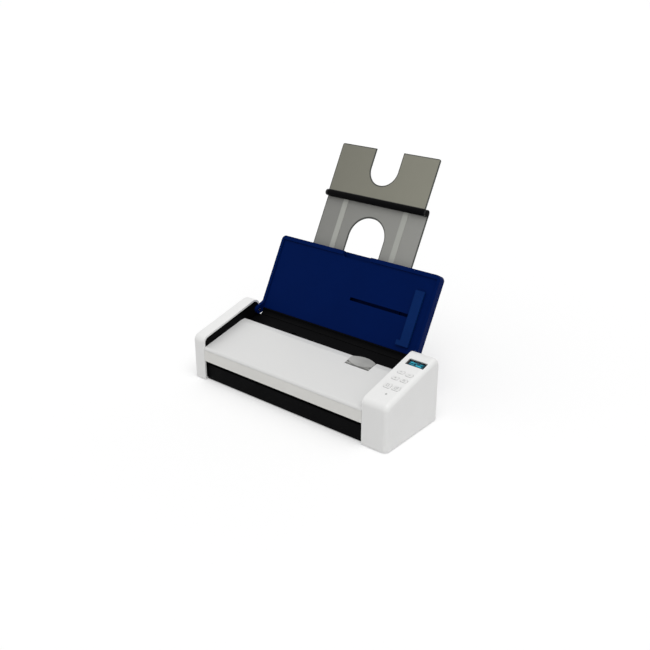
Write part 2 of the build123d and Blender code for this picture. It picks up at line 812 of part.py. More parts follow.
with BuildPart() as lower_paper_guide:
    face = path_face(-PATH_GAP)
    block(face, BAY_LEFT, GUIDE_START, BAY_RIGHT, LOWER_GUIDE_END, -GUIDE_T)
    roller_windows(face, EXIT_U, ROLLER_R - 1, SLEEVE_XS, SLEEVE_L, -GUIDE_T)
    roller_windows(face, DRIVE_U, ROLLER_R, SLEEVE_XS, SLEEVE_L, -GUIDE_T)
    roller_windows(face, PICK_U, PICK_R - 2, (BAY_X,), PICK_SLEEVE_L, -GUIDE_T)
    opening(
        face,
        BAY_X - SENSOR_L / 2 - SENSOR_FIT,
        SENSOR_U - SENSOR_FIT,
        BAY_X + SENSOR_L / 2 + SENSOR_FIT,
        SENSOR_U + SENSOR_D + SENSOR_FIT,
        -GUIDE_T,
    )
    flag_u0, flag_u1 = FLAG_PIVOT_U - FLAG_BEFORE, FLAG_PIVOT_U + FLAG_AFTER
    opening(face, FLAG_X - FLAG_T, flag_u0, FLAG_X + FLAG_T, flag_u1, -GUIDE_T)
    tongue_window(face, -GUIDE_T)
    lip_x0, lip_x1 = TRAY_LEFT + EAR_T + TRAY_GAP, TRAY_RIGHT - EAR_T - TRAY_GAP
    with BuildSketch(side(lip_x0)) as lip:
        add(lip_outline())
    extrude(amount=lip_x1 - lip_x0)
    for turn in (-1, 1):
        pivot_rib(
            FLAG_X + turn * (FLAG_PIN_HALF - RIB_T / 2),
            FLAG_PIVOT_U - FLAG_RIB,
            FLAG_PIVOT_V - FLAG_RIB,
            FLAG_PIVOT_U + FLAG_RIB,
            -PATH_GAP - GUIDE_T,
            FLAG_PIVOT_U,
            FLAG_PIVOT_V,
            FLAG_PIN_R + RUNNING_GAP,
        )
finish(lower_paper_guide.part, "lower_paper_guide")


# Image sensors: a bar with a glass strip towards the paper
def image_sensor(u, side_sign):
    """Sensor bar and its glass, below the path (-1) or above it (1)."""
    far_face = path_face(side_sign * (GLASS_SETBACK + GLASS_T))
    near_face = path_face(side_sign * GLASS_SETBACK)
    x0, x1 = BAY_X - SENSOR_L / 2, BAY_X + SENSOR_L / 2
    with BuildPart() as bar:
        block(far_face, x0, u, x1, u + SENSOR_D, side_sign * SENSOR_H)
        u0 = u + (SENSOR_D - GROOVE_W) / 2
        opening(far_face, x0 + GROOVE_INSET, u0, x1 - GROOVE_INSET, u0 + GROOVE_W, side_sign * GROOVE_D)
    with BuildPart() as glass:
        block(
            near_face,
            x0 + GLASS_MARGIN,
            u + GLASS_MARGIN,
            x1 - GLASS_MARGIN,
            u + SENSOR_D - GLASS_MARGIN,
            side_sign * GLASS_T,
        )
    return bar.part, glass.part


lower_image_sensor, lower_sensor_glass = image_sensor(SENSOR_U, -1)
finish(lower_image_sensor, "lower_image_sensor")
finish(lower_sensor_glass, "lower_sensor_glass")

# Bushes: flanged rings on the outer side of each plate
with BuildPart() as roller_bushes:
    for inner_x, outward in ((BAY_LEFT, -1), (BAY_RIGHT, 1)):
        for y, z in ROLLERS_AT:
            rod(side(inner_x), y, z, BUSH_R, outward * PLATE_T)
            rod(side(inner_x + outward * PLATE_T), y, z, BUSH_R + BUSH_FLANGE, outward * BUSH_FLANGE_T)
            hole(side(inner_x), y, z, SHAFT_R + RUNNING_GAP, outward * (PLATE_T + BUSH_FLANGE_T))
finish(roller_bushes.part, "roller_bushes")


# Gears
def involute(angle):
    """Involute function of a pressure angle."""
    return tan(angle) - angle


def gear_outline(centre, teeth, phase):
    """Outline of a spur gear with one tooth centred at the angle phase."""
    base_r = pitch_r(teeth) * cos(PRESSURE)
    tip_r = pitch_r(teeth) + ADDENDUM
    root_r = pitch_r(teeth) - DEDENDUM
    flank_r = max(base_r, root_r)
    half_tooth = (pi / 2 - BACKLASH / MODULE) / teeth

    def at(radius, angle):
        """Point at a radius and angle from the gear's centre."""
        return centre[0] + radius * cos(angle), centre[1] + radius * sin(angle)

    def half(radius):
        """Half the tooth's angle at a radius."""
        return half_tooth + involute(PRESSURE) - involute(acos(min(1.0, base_r / radius)))

    middle_r = (flank_r + tip_r) / 2
    with BuildSketch() as outline:
        with BuildLine():
            for tooth in range(teeth):
                axis = phase + 2 * pi * tooth / teeth
                following = phase + 2 * pi * (tooth + 1) / teeth
                root_a = at(root_r, axis - half(flank_r))
                root_b = at(root_r, axis + half(flank_r))
                flank_a = at(flank_r, axis - half(flank_r))
                flank_b = at(flank_r, axis + half(flank_r))
                tip_a = at(tip_r, axis - half(tip_r))
                tip_b = at(tip_r, axis + half(tip_r))
                if flank_r > root_r:
                    Line(root_a, flank_a)
                    Line(flank_b, root_b)
                ThreePointArc(flank_a, at(middle_r, axis - half(middle_r)), tip_a)
                Line(tip_a, tip_b)
                ThreePointArc(tip_b, at(middle_r, axis + half(middle_r)), flank_b)
                Line(root_b, at(root_r, following - half(flank_r)))
        make_face()
    return outline.sketch


def gear(x, centre, teeth, phase, bore):
    """Spur gear from x outwards, with a thinner web when it is large enough."""
    root_r = pitch_r(teeth) - DEDENDUM
    hub_r = bore + RIM_T
    with BuildPart() as wheel:
        with BuildSketch(side(x)):
            add(gear_outline(centre, teeth, phase))
        extrude(amount=GEAR_T)
        if root_r - RIM_T > hub_r + RIM_T:
            with BuildSketch(side(x + GEAR_T)):
                with Locations(centre):
                    Circle(root_r - RIM_T)
                    Circle(hub_r, mode=Mode.SUBTRACT)
            extrude(amount=WEB_T - GEAR_T, mode=Mode.SUBTRACT)
        hole(side(x), *centre, bore, GEAR_T)
    return wheel.part


def meshed(centre, teeth, phase, other, other_teeth):
    """Phase of a gear at other that meshes with the gear at centre."""
    angle = direction(centre, other)
    return angle + pi + pi / other_teeth - (phase - angle) * teeth / other_teeth


DRIVE_PHASE = 0.0
EXIT_IDLER_PHASE = meshed(DRIVE_AT, ROLLER_TEETH, DRIVE_PHASE, EXIT_IDLER_AT, EXIT_IDLER_TEETH)
EXIT_PHASE = meshed(EXIT_IDLER_AT, EXIT_IDLER_TEETH, EXIT_IDLER_PHASE, EXIT_AT, ROLLER_TEETH)
COMPOUND_PHASE = meshed(EXIT_IDLER_AT, EXIT_IDLER_TEETH, EXIT_IDLER_PHASE, COMPOUND_AT, PINION_TEETH)
WHEEL_PHASE = 0.0
PINION_PHASE = meshed(COMPOUND_AT, WHEEL_TEETH, WHEEL_PHASE, MOTOR_AT, PINION_TEETH)
PICK_IDLER_PHASE = meshed(DRIVE_AT, ROLLER_TEETH, DRIVE_PHASE, PICK_IDLER_AT, PICK_IDLER_TEETH)
PICK_PHASE = meshed(PICK_IDLER_AT, PICK_IDLER_TEETH, PICK_IDLER_PHASE, PICK_AT, PICK_TEETH)

STUD_BORE = STUD_R + RUNNING_GAP
finish(gear(GEAR_X, EXIT_IDLER_AT, EXIT_IDLER_TEETH, EXIT_IDLER_PHASE, STUD_BORE), "exit_idler_gear")
finish(gear(GEAR_X, PICK_IDLER_AT, PICK_IDLER_TEETH, PICK_IDLER_PHASE, STUD_BORE), "pick_idler_gear")

with BuildPart() as compound_gear:
    add(gear(GEAR_X, COMPOUND_AT, PINION_TEETH, COMPOUND_PHASE, STUD_BORE))
    rod(side(GEAR_X + GEAR_T), *COMPOUND_AT, STUD_BORE + RIM_T, GEAR_STEP - GEAR_T)
    add(gear(WHEEL_X, COMPOUND_AT, WHEEL_TEETH, WHEEL_PHASE, STUD_BORE))
    hole(side(GEAR_X), *COMPOUND_AT, STUD_BORE, GEAR_STEP + GEAR_T)
finish(compound_gear.part, "compound_gear")

with BuildPart() as motor_pinion:
    with BuildSketch(side(WHEEL_X)):
        add(gear_outline(MOTOR_AT, PINION_TEETH, PINION_PHASE))
    extrude(amount=GEAR_T)
    shaft_end = WHEEL_X + GEAR_T + SHAFT_OVER
    rod(side(BAY_RIGHT - MOTOR_SHAFT_IN), *MOTOR_AT, MOTOR_SHAFT_R, shaft_end - BAY_RIGHT + MOTOR_SHAFT_IN)
finish(motor_pinion.part, "motor_pinion")


# Rollers: a steel shaft, rubber sleeves and a gear on the right end
def feed_roller(name, centre, radius, xs, length, teeth, phase):
    """Write the shaft, the sleeves and the gear of one driven roller."""
    shaft_x0 = BAY_LEFT - PLATE_T - BUSH_FLANGE_T - SHAFT_OVER
    with BuildPart() as shaft:
        rod(side(shaft_x0), *centre, SHAFT_R, GEAR_X + GEAR_T - shaft_x0)
    finish(shaft.part, f"{name}_roller_shaft")
    with BuildPart() as rubber:
        for x in xs:
            with BuildSketch(side(x - length / 2)):
                with Locations(centre):
                    Circle(radius)
                    Circle(SHAFT_R, mode=Mode.SUBTRACT)
            extrude(amount=length)
        ends = rubber.edges().filter_by(GeomType.CIRCLE).filter_by(lambda edge: edge.radius > SHAFT_R)
        chamfer(ends, length=SLEEVE_CHAMFER)
    finish(rubber.part, f"{name}_roller_rubber")
    finish(gear(GEAR_X, centre, teeth, phase, SHAFT_R), f"{name}_gear")


feed_roller("exit", EXIT_AT, ROLLER_R, SLEEVE_XS, SLEEVE_L, ROLLER_TEETH, EXIT_PHASE)
feed_roller("drive", DRIVE_AT, ROLLER_R, SLEEVE_XS, SLEEVE_L, ROLLER_TEETH, DRIVE_PHASE)
feed_roller("pick", PICK_AT, PICK_R, (BAY_X,), PICK_SLEEVE_L, PICK_TEETH, PICK_PHASE)

# Motor can with a two-eared flange against the right side plate
with BuildPart() as motor_can:
    flange_x = BAY_RIGHT - MOTOR_FLANGE_T
    rod(side(flange_x), *MOTOR_AT, MOTOR_R, -MOTOR_L)
    fillet(motor_can.edges().filter_by(GeomType.CIRCLE).sort_by(Axis.X)[0], radius=EDGE_R)
    with BuildSketch(side(flange_x)):
        with Locations(MOTOR_AT):
            Circle(MOTOR_R)
        for turn in (-1, 1):
            with Locations((MOTOR_AT[0] + turn * MOTOR_EAR, MOTOR_AT[1])):
                Circle(MOTOR_EAR_R)
        make_hull()
    extrude(amount=MOTOR_FLANGE_T)
    for turn in (-1, 1):
        hole(side(flange_x), MOTOR_AT[0] + turn * MOTOR_EAR, MOTOR_AT[1], SCREW_R + FIT_GAP, MOTOR_FLANGE_T)
    hole(side(BAY_RIGHT), *MOTOR_AT, MOTOR_SHAFT_R + RUNNING_GAP, -MOTOR_SHAFT_IN - SLIDE_GAP)
finish(motor_can.part, "motor_can")

# Main board, its components and the socket
with BuildPart() as main_board:
    block(level(MAIN_Z), MAIN_X0, MAIN_Y0, MAIN_X1, MAIN_Y1, MAIN_T)
    for x, y in MAIN_POSTS:
        hole(level(MAIN_Z), x, y, SCREW_R + FIT_GAP, MAIN_T)
finish(main_board.part, "main_board")

# Soldered components: the main board's chips and the panel board's key switches
CHIPS = ((-40.0, 4.0, 24.0, 24.0), (-6.0, 8.0, 14.0, 18.0), (18.0, 6.0, 12.0, 12.0), (22.0, 30.0, 20.0, 6.0))
with BuildPart() as board_components:
    for x, y, width, depth in CHIPS:
        block(level(USB_Z), x - width / 2, y - depth / 2, x + width / 2, y + depth / 2, CHIP_H)
    for name, x, y, height in KEYS:
        rod(panel_face(PANEL_BOARD_V), x, y, SWITCH_R, SWITCH_H)
finish(board_components.part, "board_components")

with BuildPart() as usb_socket:
    block(facing(BACK), USB_X - USB_W / 2, USB_Z, USB_X + USB_W / 2, USB_Z + USB_H, USB_L)
    opening(
        facing(BACK),
        USB_X - USB_W / 2 + USB_WALL,
        USB_Z + USB_WALL,
        USB_X + USB_W / 2 - USB_WALL,
        USB_Z + USB_H - USB_WALL,
        USB_L - USB_REAR_T,
    )
    core_z0 = USB_Z + (USB_H - USB_CORE_H) / 2
    block(
        facing(BACK - USB_CORE_SETBACK),
        USB_X - USB_CORE_W / 2,
        core_z0,
        USB_X + USB_CORE_W / 2,
        core_z0 + USB_CORE_H,
        USB_L - USB_CORE_SETBACK - USB_REAR_T / 2,
    )
finish(usb_socket.part, "usb_socket")

# Panel board, display and status light
with BuildPart() as panel_board:
    half = PANEL_BOARD_W / 2
    block(panel_face(PANEL_BOARD_V), -half, PANEL_BOARD_LOW, half, PANEL_BOARD_HIGH, -BOARD_T)
finish(panel_board.part, "panel_board")

LENS_V = -DISPLAY_SUNK - DISPLAY_LENS_T
with BuildPart() as display_window:
    with BuildSketch(panel_face(LENS_V)):
        with Locations((DISPLAY_X, DISPLAY_Y)):
            RectangleRounded(DISPLAY_W - 2 * FIT_GAP, DISPLAY_H - 2 * FIT_GAP, DISPLAY_R - FIT_GAP)
    extrude(amount=DISPLAY_LENS_T)
finish(display_window.part, "display_window")

with BuildPart() as display_module:
    half_w = DISPLAY_W / 2 - KEY_GAP
    half_h = DISPLAY_H / 2 - KEY_GAP
    block(
        panel_face(PANEL_BOARD_V),
        DISPLAY_X - half_w,
        DISPLAY_Y - half_h,
        DISPLAY_X + half_w,
        DISPLAY_Y + half_h,
        LENS_V - PANEL_BOARD_V,
    )
finish(display_module.part, "display_module")

with BuildPart() as status_light:
    rod(panel_face(PANEL_BOARD_V), LIGHT_X, LIGHT_Y, LIGHT_R, -PANEL_BOARD_V + DISPLAY_SUNK)
finish(status_light.part, "status_light")

# Keys: a rounded top, a flange under the cap's skin and a short stem
SWITCH_TOP = PANEL_BOARD_V + SWITCH_H
FLANGE_TOP = -CAP_WALL - KEY_FLANGE_GAP
for name, x, y, height in KEYS:
    with BuildPart() as key:
        with BuildSketch(panel_face(FLANGE_TOP)):
            key_shape(x, y, height, 0)
        extrude(amount=KEY_PROUD - FLANGE_TOP)
        fillet(key.faces().sort_by(Axis.Z)[-1].edges(), radius=KEY_EDGE_R)
        with BuildSketch(panel_face(FLANGE_TOP)):
            key_shape(x, y, height, KEY_FLANGE)
        extrude(amount=-KEY_FLANGE_T)
        stem_top = FLANGE_TOP - KEY_FLANGE_T
        rod(panel_face(stem_top), x, y, KEY_STEM_R, SWITCH_TOP + KEY_TRAVEL + FIT_GAP - stem_top)
    finish(key.part, name)


# Pins of the two covers, fixed in the side plates
def pin_pair(y, z, radius, reach):
    """Two pins through the side plates that reach into the bay."""
    with BuildPart() as pins:
        rod(side(BAY_LEFT - PLATE_T), y, z, radius, PLATE_T + reach)
        rod(side(BAY_RIGHT + PLATE_T), y, z, radius, -PLATE_T - reach)
    return pins.part


finish(pin_pair(HINGE_Y, HINGE_Z, LID_PIN_R, TRAY_GAP + EAR_T), "lid_hinge_pins")
finish(pin_pair(COVER_PIVOT_Y, COVER_PIVOT_Z, COVER_PIN_R, COVER_GAP + CHEEK_T), "cover_hinge_pins")


# Screws: a round head with a cross slot and a plain shank
def screw(plane, x, y, length):
    """Add a screw whose head stands on the plane and whose shank goes the other way."""
    rod(plane, x, y, SCREW_HEAD_R, SCREW_HEAD_H)
    for half_x, half_y in ((SCREW_SLOT_L / 2, SCREW_SLOT_W / 2), (SCREW_SLOT_W / 2, SCREW_SLOT_L / 2)):
        opening(plane.offset(SCREW_HEAD_H), x - half_x, y - half_y, x + half_x, y + half_y, -SCREW_SLOT_D)
    rod(plane, x, y, SCREW_R, -length)


def reverse(plane):
    """The same plane seen from its other side, with its own y kept."""
    return Plane(origin=plane.origin, x_dir=-plane.x_dir, z_dir=-plane.z_dir)


with BuildPart() as screws:
    for y, z in CAP_SCREWS:
        screw(side(BAY_LEFT), y, z, SCREW_L)
        screw(reverse(side(BAY_RIGHT)), -y, z, SCREW_L)
    for x, y in PAN_SCREWS:
        screw(reverse(level(FOOT_H + SCREW_HEAD_H + FIT_GAP)), -x, y, SCREW_L)
    for x, y in MAIN_POSTS:
        screw(level(MAIN_Z + MAIN_T), x, y, SCREW_L - MAIN_T)
    for turn in (-1, 1):
        ear_y = MOTOR_AT[0] + turn * MOTOR_EAR
        screw(reverse(side(BAY_RIGHT - MOTOR_FLANGE_T)), -ear_y, MOTOR_AT[1], SCREW_L)
finish(screws.part, "screws")


# Feeder cover
def cover_outline(inset):
    """Side outline of the closed feeder cover, down to the paper path."""
    front_low = on_path(GUIDE_START, PATH_GAP)
    rear_low = on_path(UPPER_GUIDE_END, PATH_GAP)
    with BuildSketch() as outline:
        Polygon(
            (FRONT, BEZEL_Z),
            (FRONT, COVER_FRONT_Z),
            (COVER_KINK_Y, COVER_KINK_Z),
            (COVER_REAR_Y, COVER_REAR_Z),
            (COVER_REAR_Y, rear_low[1]),
            rear_low,
            front_low,
            align=None,
        )
        fillet(nearest(outline, FRONT, COVER_FRONT_Z), radius=COVER_FRONT_R)
        fillet(nearest(outline, COVER_REAR_Y, COVER_REAR_Z), radius=COVER_REAR_R)
        if inset:
            offset(amount=-inset, kind=Kind.INTERSECTION)
    return outline.sketch


LEVER_X0 = LEVER_X - LEVER_W / 2
LEVER_X1 = LEVER_X + LEVER_W / 2


def cover_top(y):
    """Height of the cover's top at depth y, in front of its kink."""
    rise = (COVER_KINK_Z - COVER_FRONT_Z) / (COVER_KINK_Y - FRONT)
    return COVER_FRONT_Z + (y - FRONT) * rise


with BuildPart() as cover_shell:
    with BuildSketch(side(COVER_LEFT)):
        add(cover_outline(0))
        add(cover_outline(COVER_WALL), mode=Mode.SUBTRACT)
    extrude(amount=COVER_W)
    opening(side(COVER_LEFT), FRONT - PAST, 0, 0, CREASE_Z, COVER_W)
    opening(path_side(COVER_LEFT), -BODY_D, -BODY_D, 2 * BODY_D, SKIRT_CLEAR, COVER_W)
    opening(
        level(0),
        LEVER_X0 - LEVER_SIDE_GAP,
        LEVER_FRONT_Y - LEVER_FRONT_GAP,
        LEVER_X1 + LEVER_SIDE_GAP,
        COVER_REAR_Y + PAST,
        2 * COVER_REAR_Z,
    )
finish(cover_shell.part, "cover_shell")

with BuildPart() as cover_front_strip:
    block(facing(FRONT), COVER_LEFT, BEZEL_Z, COVER_LEFT + COVER_W, CREASE_Z - CREASE_GAP, -COVER_WALL)
    fillet(cover_front_strip.edges().filter_by(Axis.X).group_by(Axis.Z)[0].sort_by(Axis.Y)[0], radius=EDGE_R)
finish(cover_front_strip.part, "cover_front_strip")

LEVER_PIVOT = (LEVER_PIVOT_Y, cover_top(LEVER_PIVOT_Y) - LEVER_PIVOT_DROP)
LEVER_U, LEVER_V = to_path(*LEVER_PIVOT)

with BuildPart() as cover_frame:
    face = path_face(PATH_GAP)
    block(face, COVER_LEFT, GUIDE_START, COVER_LEFT + COVER_W, UPPER_GUIDE_END, GUIDE_T)
    for cheek_x in (COVER_LEFT, COVER_LEFT + COVER_W - CHEEK_T):
        with BuildSketch(side(cheek_x)):
            add(cover_outline(COVER_WALL))
            with Locations((COVER_PIVOT_Y, COVER_PIVOT_Z)):
                Circle(COVER_EAR_R)
        extrude(amount=CHEEK_T)
        opening(side(cheek_x), FRONT - COVER_WALL, 0, FRONT + COVER_WALL, COVER_FRONT_Z, CHEEK_T)
        hole(side(cheek_x), COVER_PIVOT_Y, COVER_PIVOT_Z, COVER_PIN_R + RUNNING_GAP, CHEEK_T)
    roller_windows(face, EXIT_U, PINCH_R, SLEEVE_XS, PINCH_ROLLER_L, GUIDE_T)
    roller_windows(face, DRIVE_U, PINCH_R, SLEEVE_XS, PINCH_ROLLER_L, GUIDE_T)
    opening(
        face,
        BAY_X - SENSOR_L / 2 - SENSOR_FIT,
        UPPER_SENSOR_U - SENSOR_FIT,
        BAY_X + SENSOR_L / 2 + SENSOR_FIT,
        UPPER_SENSOR_U + SENSOR_D + SENSOR_FIT,
        GUIDE_T,
    )
    opening(
        face,
        BAY_X - ARM_HALF - WINDOW_GAP,
        PAD_U - WINDOW_GAP,
        BAY_X + ARM_HALF + WINDOW_GAP,
        UPPER_GUIDE_END,
        GUIDE_T,
    )
    tongue_window(face, GUIDE_T)
    for u in (EXIT_U, DRIVE_U):
        for turn in (-1, 1):
            pivot_rib(
                BAY_X + turn * (PINCH_SHAFT_HALF - RIB_T),
                u - PINCH_R,
                PATH_GAP,
                u + PINCH_R,
                PATH_TOUCH + 2 * PINCH_R,
                u,
                PATH_TOUCH + PINCH_R,
                PINCH_SHAFT_R + RUNNING_GAP,
            )
    for turn in (-1, 1):
        pivot_rib(
            BAY_X + turn * (ARM_HALF + ARM_PIN_L - RIB_T / 2),
            ARM_PIVOT_U - ARM_RIB,
            PATH_GAP,
            ARM_PIVOT_U + ARM_RIB,
            ARM_PIVOT_V + ARM_RIB,
            ARM_PIVOT_U,
            ARM_PIVOT_V,
            ARM_PIN_R + RUNNING_GAP,
        )
    for turn in (-1, 1):
        rib_x = LEVER_X + turn * (LEVER_W / 2 + LEVER_PIN_L - RIB_T / 2) - RIB_T / 2
        with BuildSketch(path_side(rib_x)):
            with Locations((LEVER_U, (LEVER_V + PATH_GAP) / 2)):
                Rectangle(2 * LEVER_RIB_HALF, LEVER_V - PATH_GAP)
            with Locations((LEVER_U, LEVER_V)):
                Circle(LEVER_RIB_HALF)
                Circle(LEVER_PIN_R + RUNNING_GAP, mode=Mode.SUBTRACT)
        extrude(amount=RIB_T)
finish(cover_frame.part, "cover_frame")

upper_image_sensor, upper_sensor_glass = image_sensor(UPPER_SENSOR_U, 1)
finish(upper_image_sensor, "upper_image_sensor")
finish(upper_sensor_glass, "upper_sensor_glass")


def pinch_rollers(u):
    """Free-running shaft with one roller over each sleeve of the roller below."""
    v = PATH_TOUCH + PINCH_R
    with BuildPart() as rollers:
        rod(path_side(BAY_X - PINCH_SHAFT_HALF), u, v, PINCH_SHAFT_R, 2 * PINCH_SHAFT_HALF)
        for x in SLEEVE_XS:
            rod(path_side(x - PINCH_ROLLER_L / 2), u, v, PINCH_R, PINCH_ROLLER_L)
    return rollers.part


finish(pinch_rollers(EXIT_U), "exit_pinch_rollers")
finish(pinch_rollers(DRIVE_U), "drive_pinch_rollers")

with BuildPart() as separation_arm:
    block(path_face(ARM_V), BAY_X - ARM_HALF, ARM_PIVOT_U, BAY_X + ARM_HALF, ARM_END_U, ARM_T)
    pad_face = path_face(PAD_V + ARM_T)
    block(pad_face, BAY_X - PAD_HALF, PAD_U, BAY_X + PAD_HALF, PAD_U + PAD_L, ARM_V - PAD_V - ARM_T)
    rod(path_side(BAY_X - ARM_HALF), ARM_PIVOT_U, ARM_PIVOT_V, ARM_BAR_R, 2 * ARM_HALF)
    reach = ARM_HALF + ARM_PIN_L
    rod(path_side(BAY_X - reach), ARM_PIVOT_U, ARM_PIVOT_V, ARM_PIN_R, 2 * reach)
finish(separation_arm.part, "separation_arm")

with BuildPart() as separation_pad:
    block(path_face(PAD_V), BAY_X - PAD_HALF, PAD_U, BAY_X + PAD_HALF, PAD_U + PAD_L, ARM_T)
finish(separation_pad.part, "separation_pad")

# Release lever: a thumb plate on the cover's rear edge with a latch tongue
with BuildPart() as release_lever:
    rear_y = COVER_REAR_Y + LEVER_OVERHANG
    bow_y0, bow_y1 = LEVER_FRONT_Y + LEVER_BOW, rear_y - LEVER_BOW
    with BuildSketch(level(0)):
        with BuildLine():
            Line((LEVER_X0, bow_y1), (LEVER_X0, bow_y0))
            ThreePointArc((LEVER_X0, bow_y0), (LEVER_X, LEVER_FRONT_Y), (LEVER_X1, bow_y0))
            Line((LEVER_X1, bow_y0), (LEVER_X1, bow_y1))
            ThreePointArc((LEVER_X1, bow_y1), (LEVER_X, rear_y), (LEVER_X0, bow_y1))
        make_face()
    extrude(amount=2 * COVER_REAR_Z)
    front_y = LEVER_FRONT_Y - PAST
    skin = [(front_y, cover_top(front_y)), (COVER_KINK_Y, COVER_KINK_Z), (rear_y + PAST, COVER_REAR_Z)]
    upper = [(y, z + LEVER_RISE) for y, z in skin]
    lower = [(y, z - LEVER_T) for y, z in reversed(upper)]
    with BuildSketch(side(LEVER_X0)):
        with BuildLine():
            Polyline(*upper, *lower, close=True)
        make_face()
    extrude(amount=LEVER_W, mode=Mode.INTERSECT)
    rod(side(LEVER_X0), *LEVER_PIVOT, LEVER_BAR_R, LEVER_W)
    rod(side(LEVER_X0 - LEVER_PIN_L), *LEVER_PIVOT, LEVER_PIN_R, LEVER_W + 2 * LEVER_PIN_L)
    web_y0, web_y1 = LEVER_PIVOT_Y - TONGUE_T / 2, LEVER_PIVOT_Y + TONGUE_T / 2
    web_h = LEVER_PIVOT_DROP + LEVER_RISE - LEVER_T / 2
    block(level(LEVER_PIVOT[1]), LEVER_X0, web_y0, LEVER_X1, web_y1, web_h)
    block(
        level(TONGUE_TIP_Z),
        TONGUE_X - TONGUE_W / 2,
        web_y0,
        TONGUE_X + TONGUE_W / 2,
        web_y1,
        LEVER_PIVOT[1] - TONGUE_TIP_Z,
    )
finish(release_lever.part, "release_lever")

# Paper sensor flag: a blade on a cross pin
with BuildPart() as paper_flag:
    with BuildSketch(path_side(FLAG_X - FLAG_T / 2)):
        with Locations((FLAG_PIVOT_U, FLAG_PIVOT_V)):
            Circle(FLAG_HUB_R)
        with Locations((FLAG_PIVOT_U + FLAG_TIP_AHEAD, FLAG_TIP_V - FLAG_TIP_R)):
            Circle(FLAG_TIP_R)
        make_hull()
    extrude(amount=FLAG_T)
    rod(path_side(FLAG_X - FLAG_PIN_HALF), FLAG_PIVOT_U, FLAG_PIVOT_V, FLAG_PIN_R, 2 * FLAG_PIN_HALF)
finish(paper_flag.part, "paper_flag")


# Tray front: rim, floor, hinge ears, screw bosses
def tray_plate(start, depth, thickness):
    """Add the tray's outline, from start up, as a plate from depth backwards."""
    with BuildSketch(tray_face(depth)) as outline:
        with Locations(((TRAY_LEFT + TRAY_RIGHT) / 2, (start + TRAY_END) / 2)):
            Rectangle(TRAY_W, TRAY_END - start)
        fillet(outline.vertices().group_by(Axis.Y)[-1], radius=TRAY_CORNER_R)
    extrude(outline.sketch, amount=-thickness)


TRAY_BOSSES = [(BAY_X + turn * BOSS_X, t) for turn in (-1, 1) for t in (BOSS_LOW, TRAY_END - BOSS_BELOW)]
SLOT_HALF = EXT_W / 2 + SLIDE_GAP
FOLDED_DEPTH = 2 * BAR_DEPTH - FLAP_DEPTH - FLAP_T

with BuildPart() as tray_front:
    tray_plate(TRAY_START, 0, BACK_DEPTH)
    opening(
        tray_face(0),
        TRAY_LEFT + TRAY_RIM,
        0,
        TRAY_RIGHT - TRAY_RIM,
        TRAY_END - TRAY_TOP_RIM,
        -FLOOR_DEPTH,
    )
    opening(
        tray_face(FLOOR_BACK),
        TRAY_LEFT + TRAY_WALL,
        TRAY_START + TRAY_WALL,
        TRAY_RIGHT - TRAY_WALL,
        TRAY_END - TRAY_WALL,
        FLOOR_BACK - BACK_DEPTH,
    )
    opening(
        tray_face(FOLDED_DEPTH - SLIDE_GAP),
        BAY_X - SLOT_HALF,
        TRAY_END - 2 * TRAY_WALL,
        BAY_X + SLOT_HALF,
        TRAY_END + PAST,
        -BACK_DEPTH,
    )
    with BuildSketch(tray_face(-PAST)) as notch:
        with Locations((BAY_X, TRAY_END - NOTCH_D / 2 + PAST)):
            Rectangle(NOTCH_W, NOTCH_D + 2 * PAST)
        fillet(notch.vertices().group_by(Axis.Y)[0], radius=NOTCH_R)
    extrude(amount=-PAST - FLOOR_BACK - TRAY_WALL, mode=Mode.SUBTRACT)
    slot_x1 = GUIDE_X + SLIDE_GAP
    slot_x0 = GUIDE_X - STEM_W - GUIDE_TRAVEL - 2 * SLIDE_GAP
    half_slot = GUIDE_SLOT_H / 2
    opening(tray_face(0), slot_x0, GUIDE_SLOT_T - half_slot, slot_x1, GUIDE_SLOT_T + half_slot, -FLOOR_BACK)
    for x, t in TRAY_BOSSES:
        rod(tray_face(FLOOR_BACK), x, t, BOSS_R, FLOOR_BACK - BACK_DEPTH)
        hole(tray_face(BACK_DEPTH), x, t, SCREW_R, TRAY_SCREW_L)
    for ear_x in (TRAY_LEFT, TRAY_RIGHT - EAR_T):
        with BuildSketch(tray_side(ear_x)):
            Circle(EAR_R)
            with Locations((TRAY_START + TRAY_RIM, -TRAY_SETBACK - BACK_DEPTH / 2)):
                Rectangle(2 * TRAY_RIM, BACK_DEPTH)
            make_hull()
        extrude(amount=EAR_T)
        hole(tray_side(ear_x), 0, 0, LID_PIN_R + RUNNING_GAP, EAR_T)
finish(tray_front.part, "tray_front")

with BuildPart() as tray_back:
    tray_plate(BACK_START, BACK_DEPTH, BACK_T)
    rearward = Axis((0, 0, 0), (0, cos(TRAY_LEAN), -sin(TRAY_LEAN)))
    fillet(tray_back.faces().sort_by(rearward)[-1].edges(), radius=EDGE_R)
    for x, t in TRAY_BOSSES:
        hole(tray_face(TRAY_T), x, t, SCREW_R + FIT_GAP, BACK_T)
    for turn in (-1, 1):
        rail_x = BAY_X + turn * (EXT_W / 2 + RAIL_GAP + RAIL_W / 2)
        rail_top = TRAY_END - 2 * TRAY_WALL - RAIL_GAP
        block(
            tray_face(BACK_DEPTH),
            rail_x - RAIL_W / 2,
            RAIL_START,
            rail_x + RAIL_W / 2,
            rail_top,
            BACK_DEPTH - EXT_DEPTH,
        )
finish(tray_back.part, "tray_back")

with BuildPart() as tray_screws:
    for x, t in TRAY_BOSSES:
        screw(reverse(tray_face(TRAY_T)), -x, t, TRAY_SCREW_L)
finish(tray_screws.part, "tray_screws")

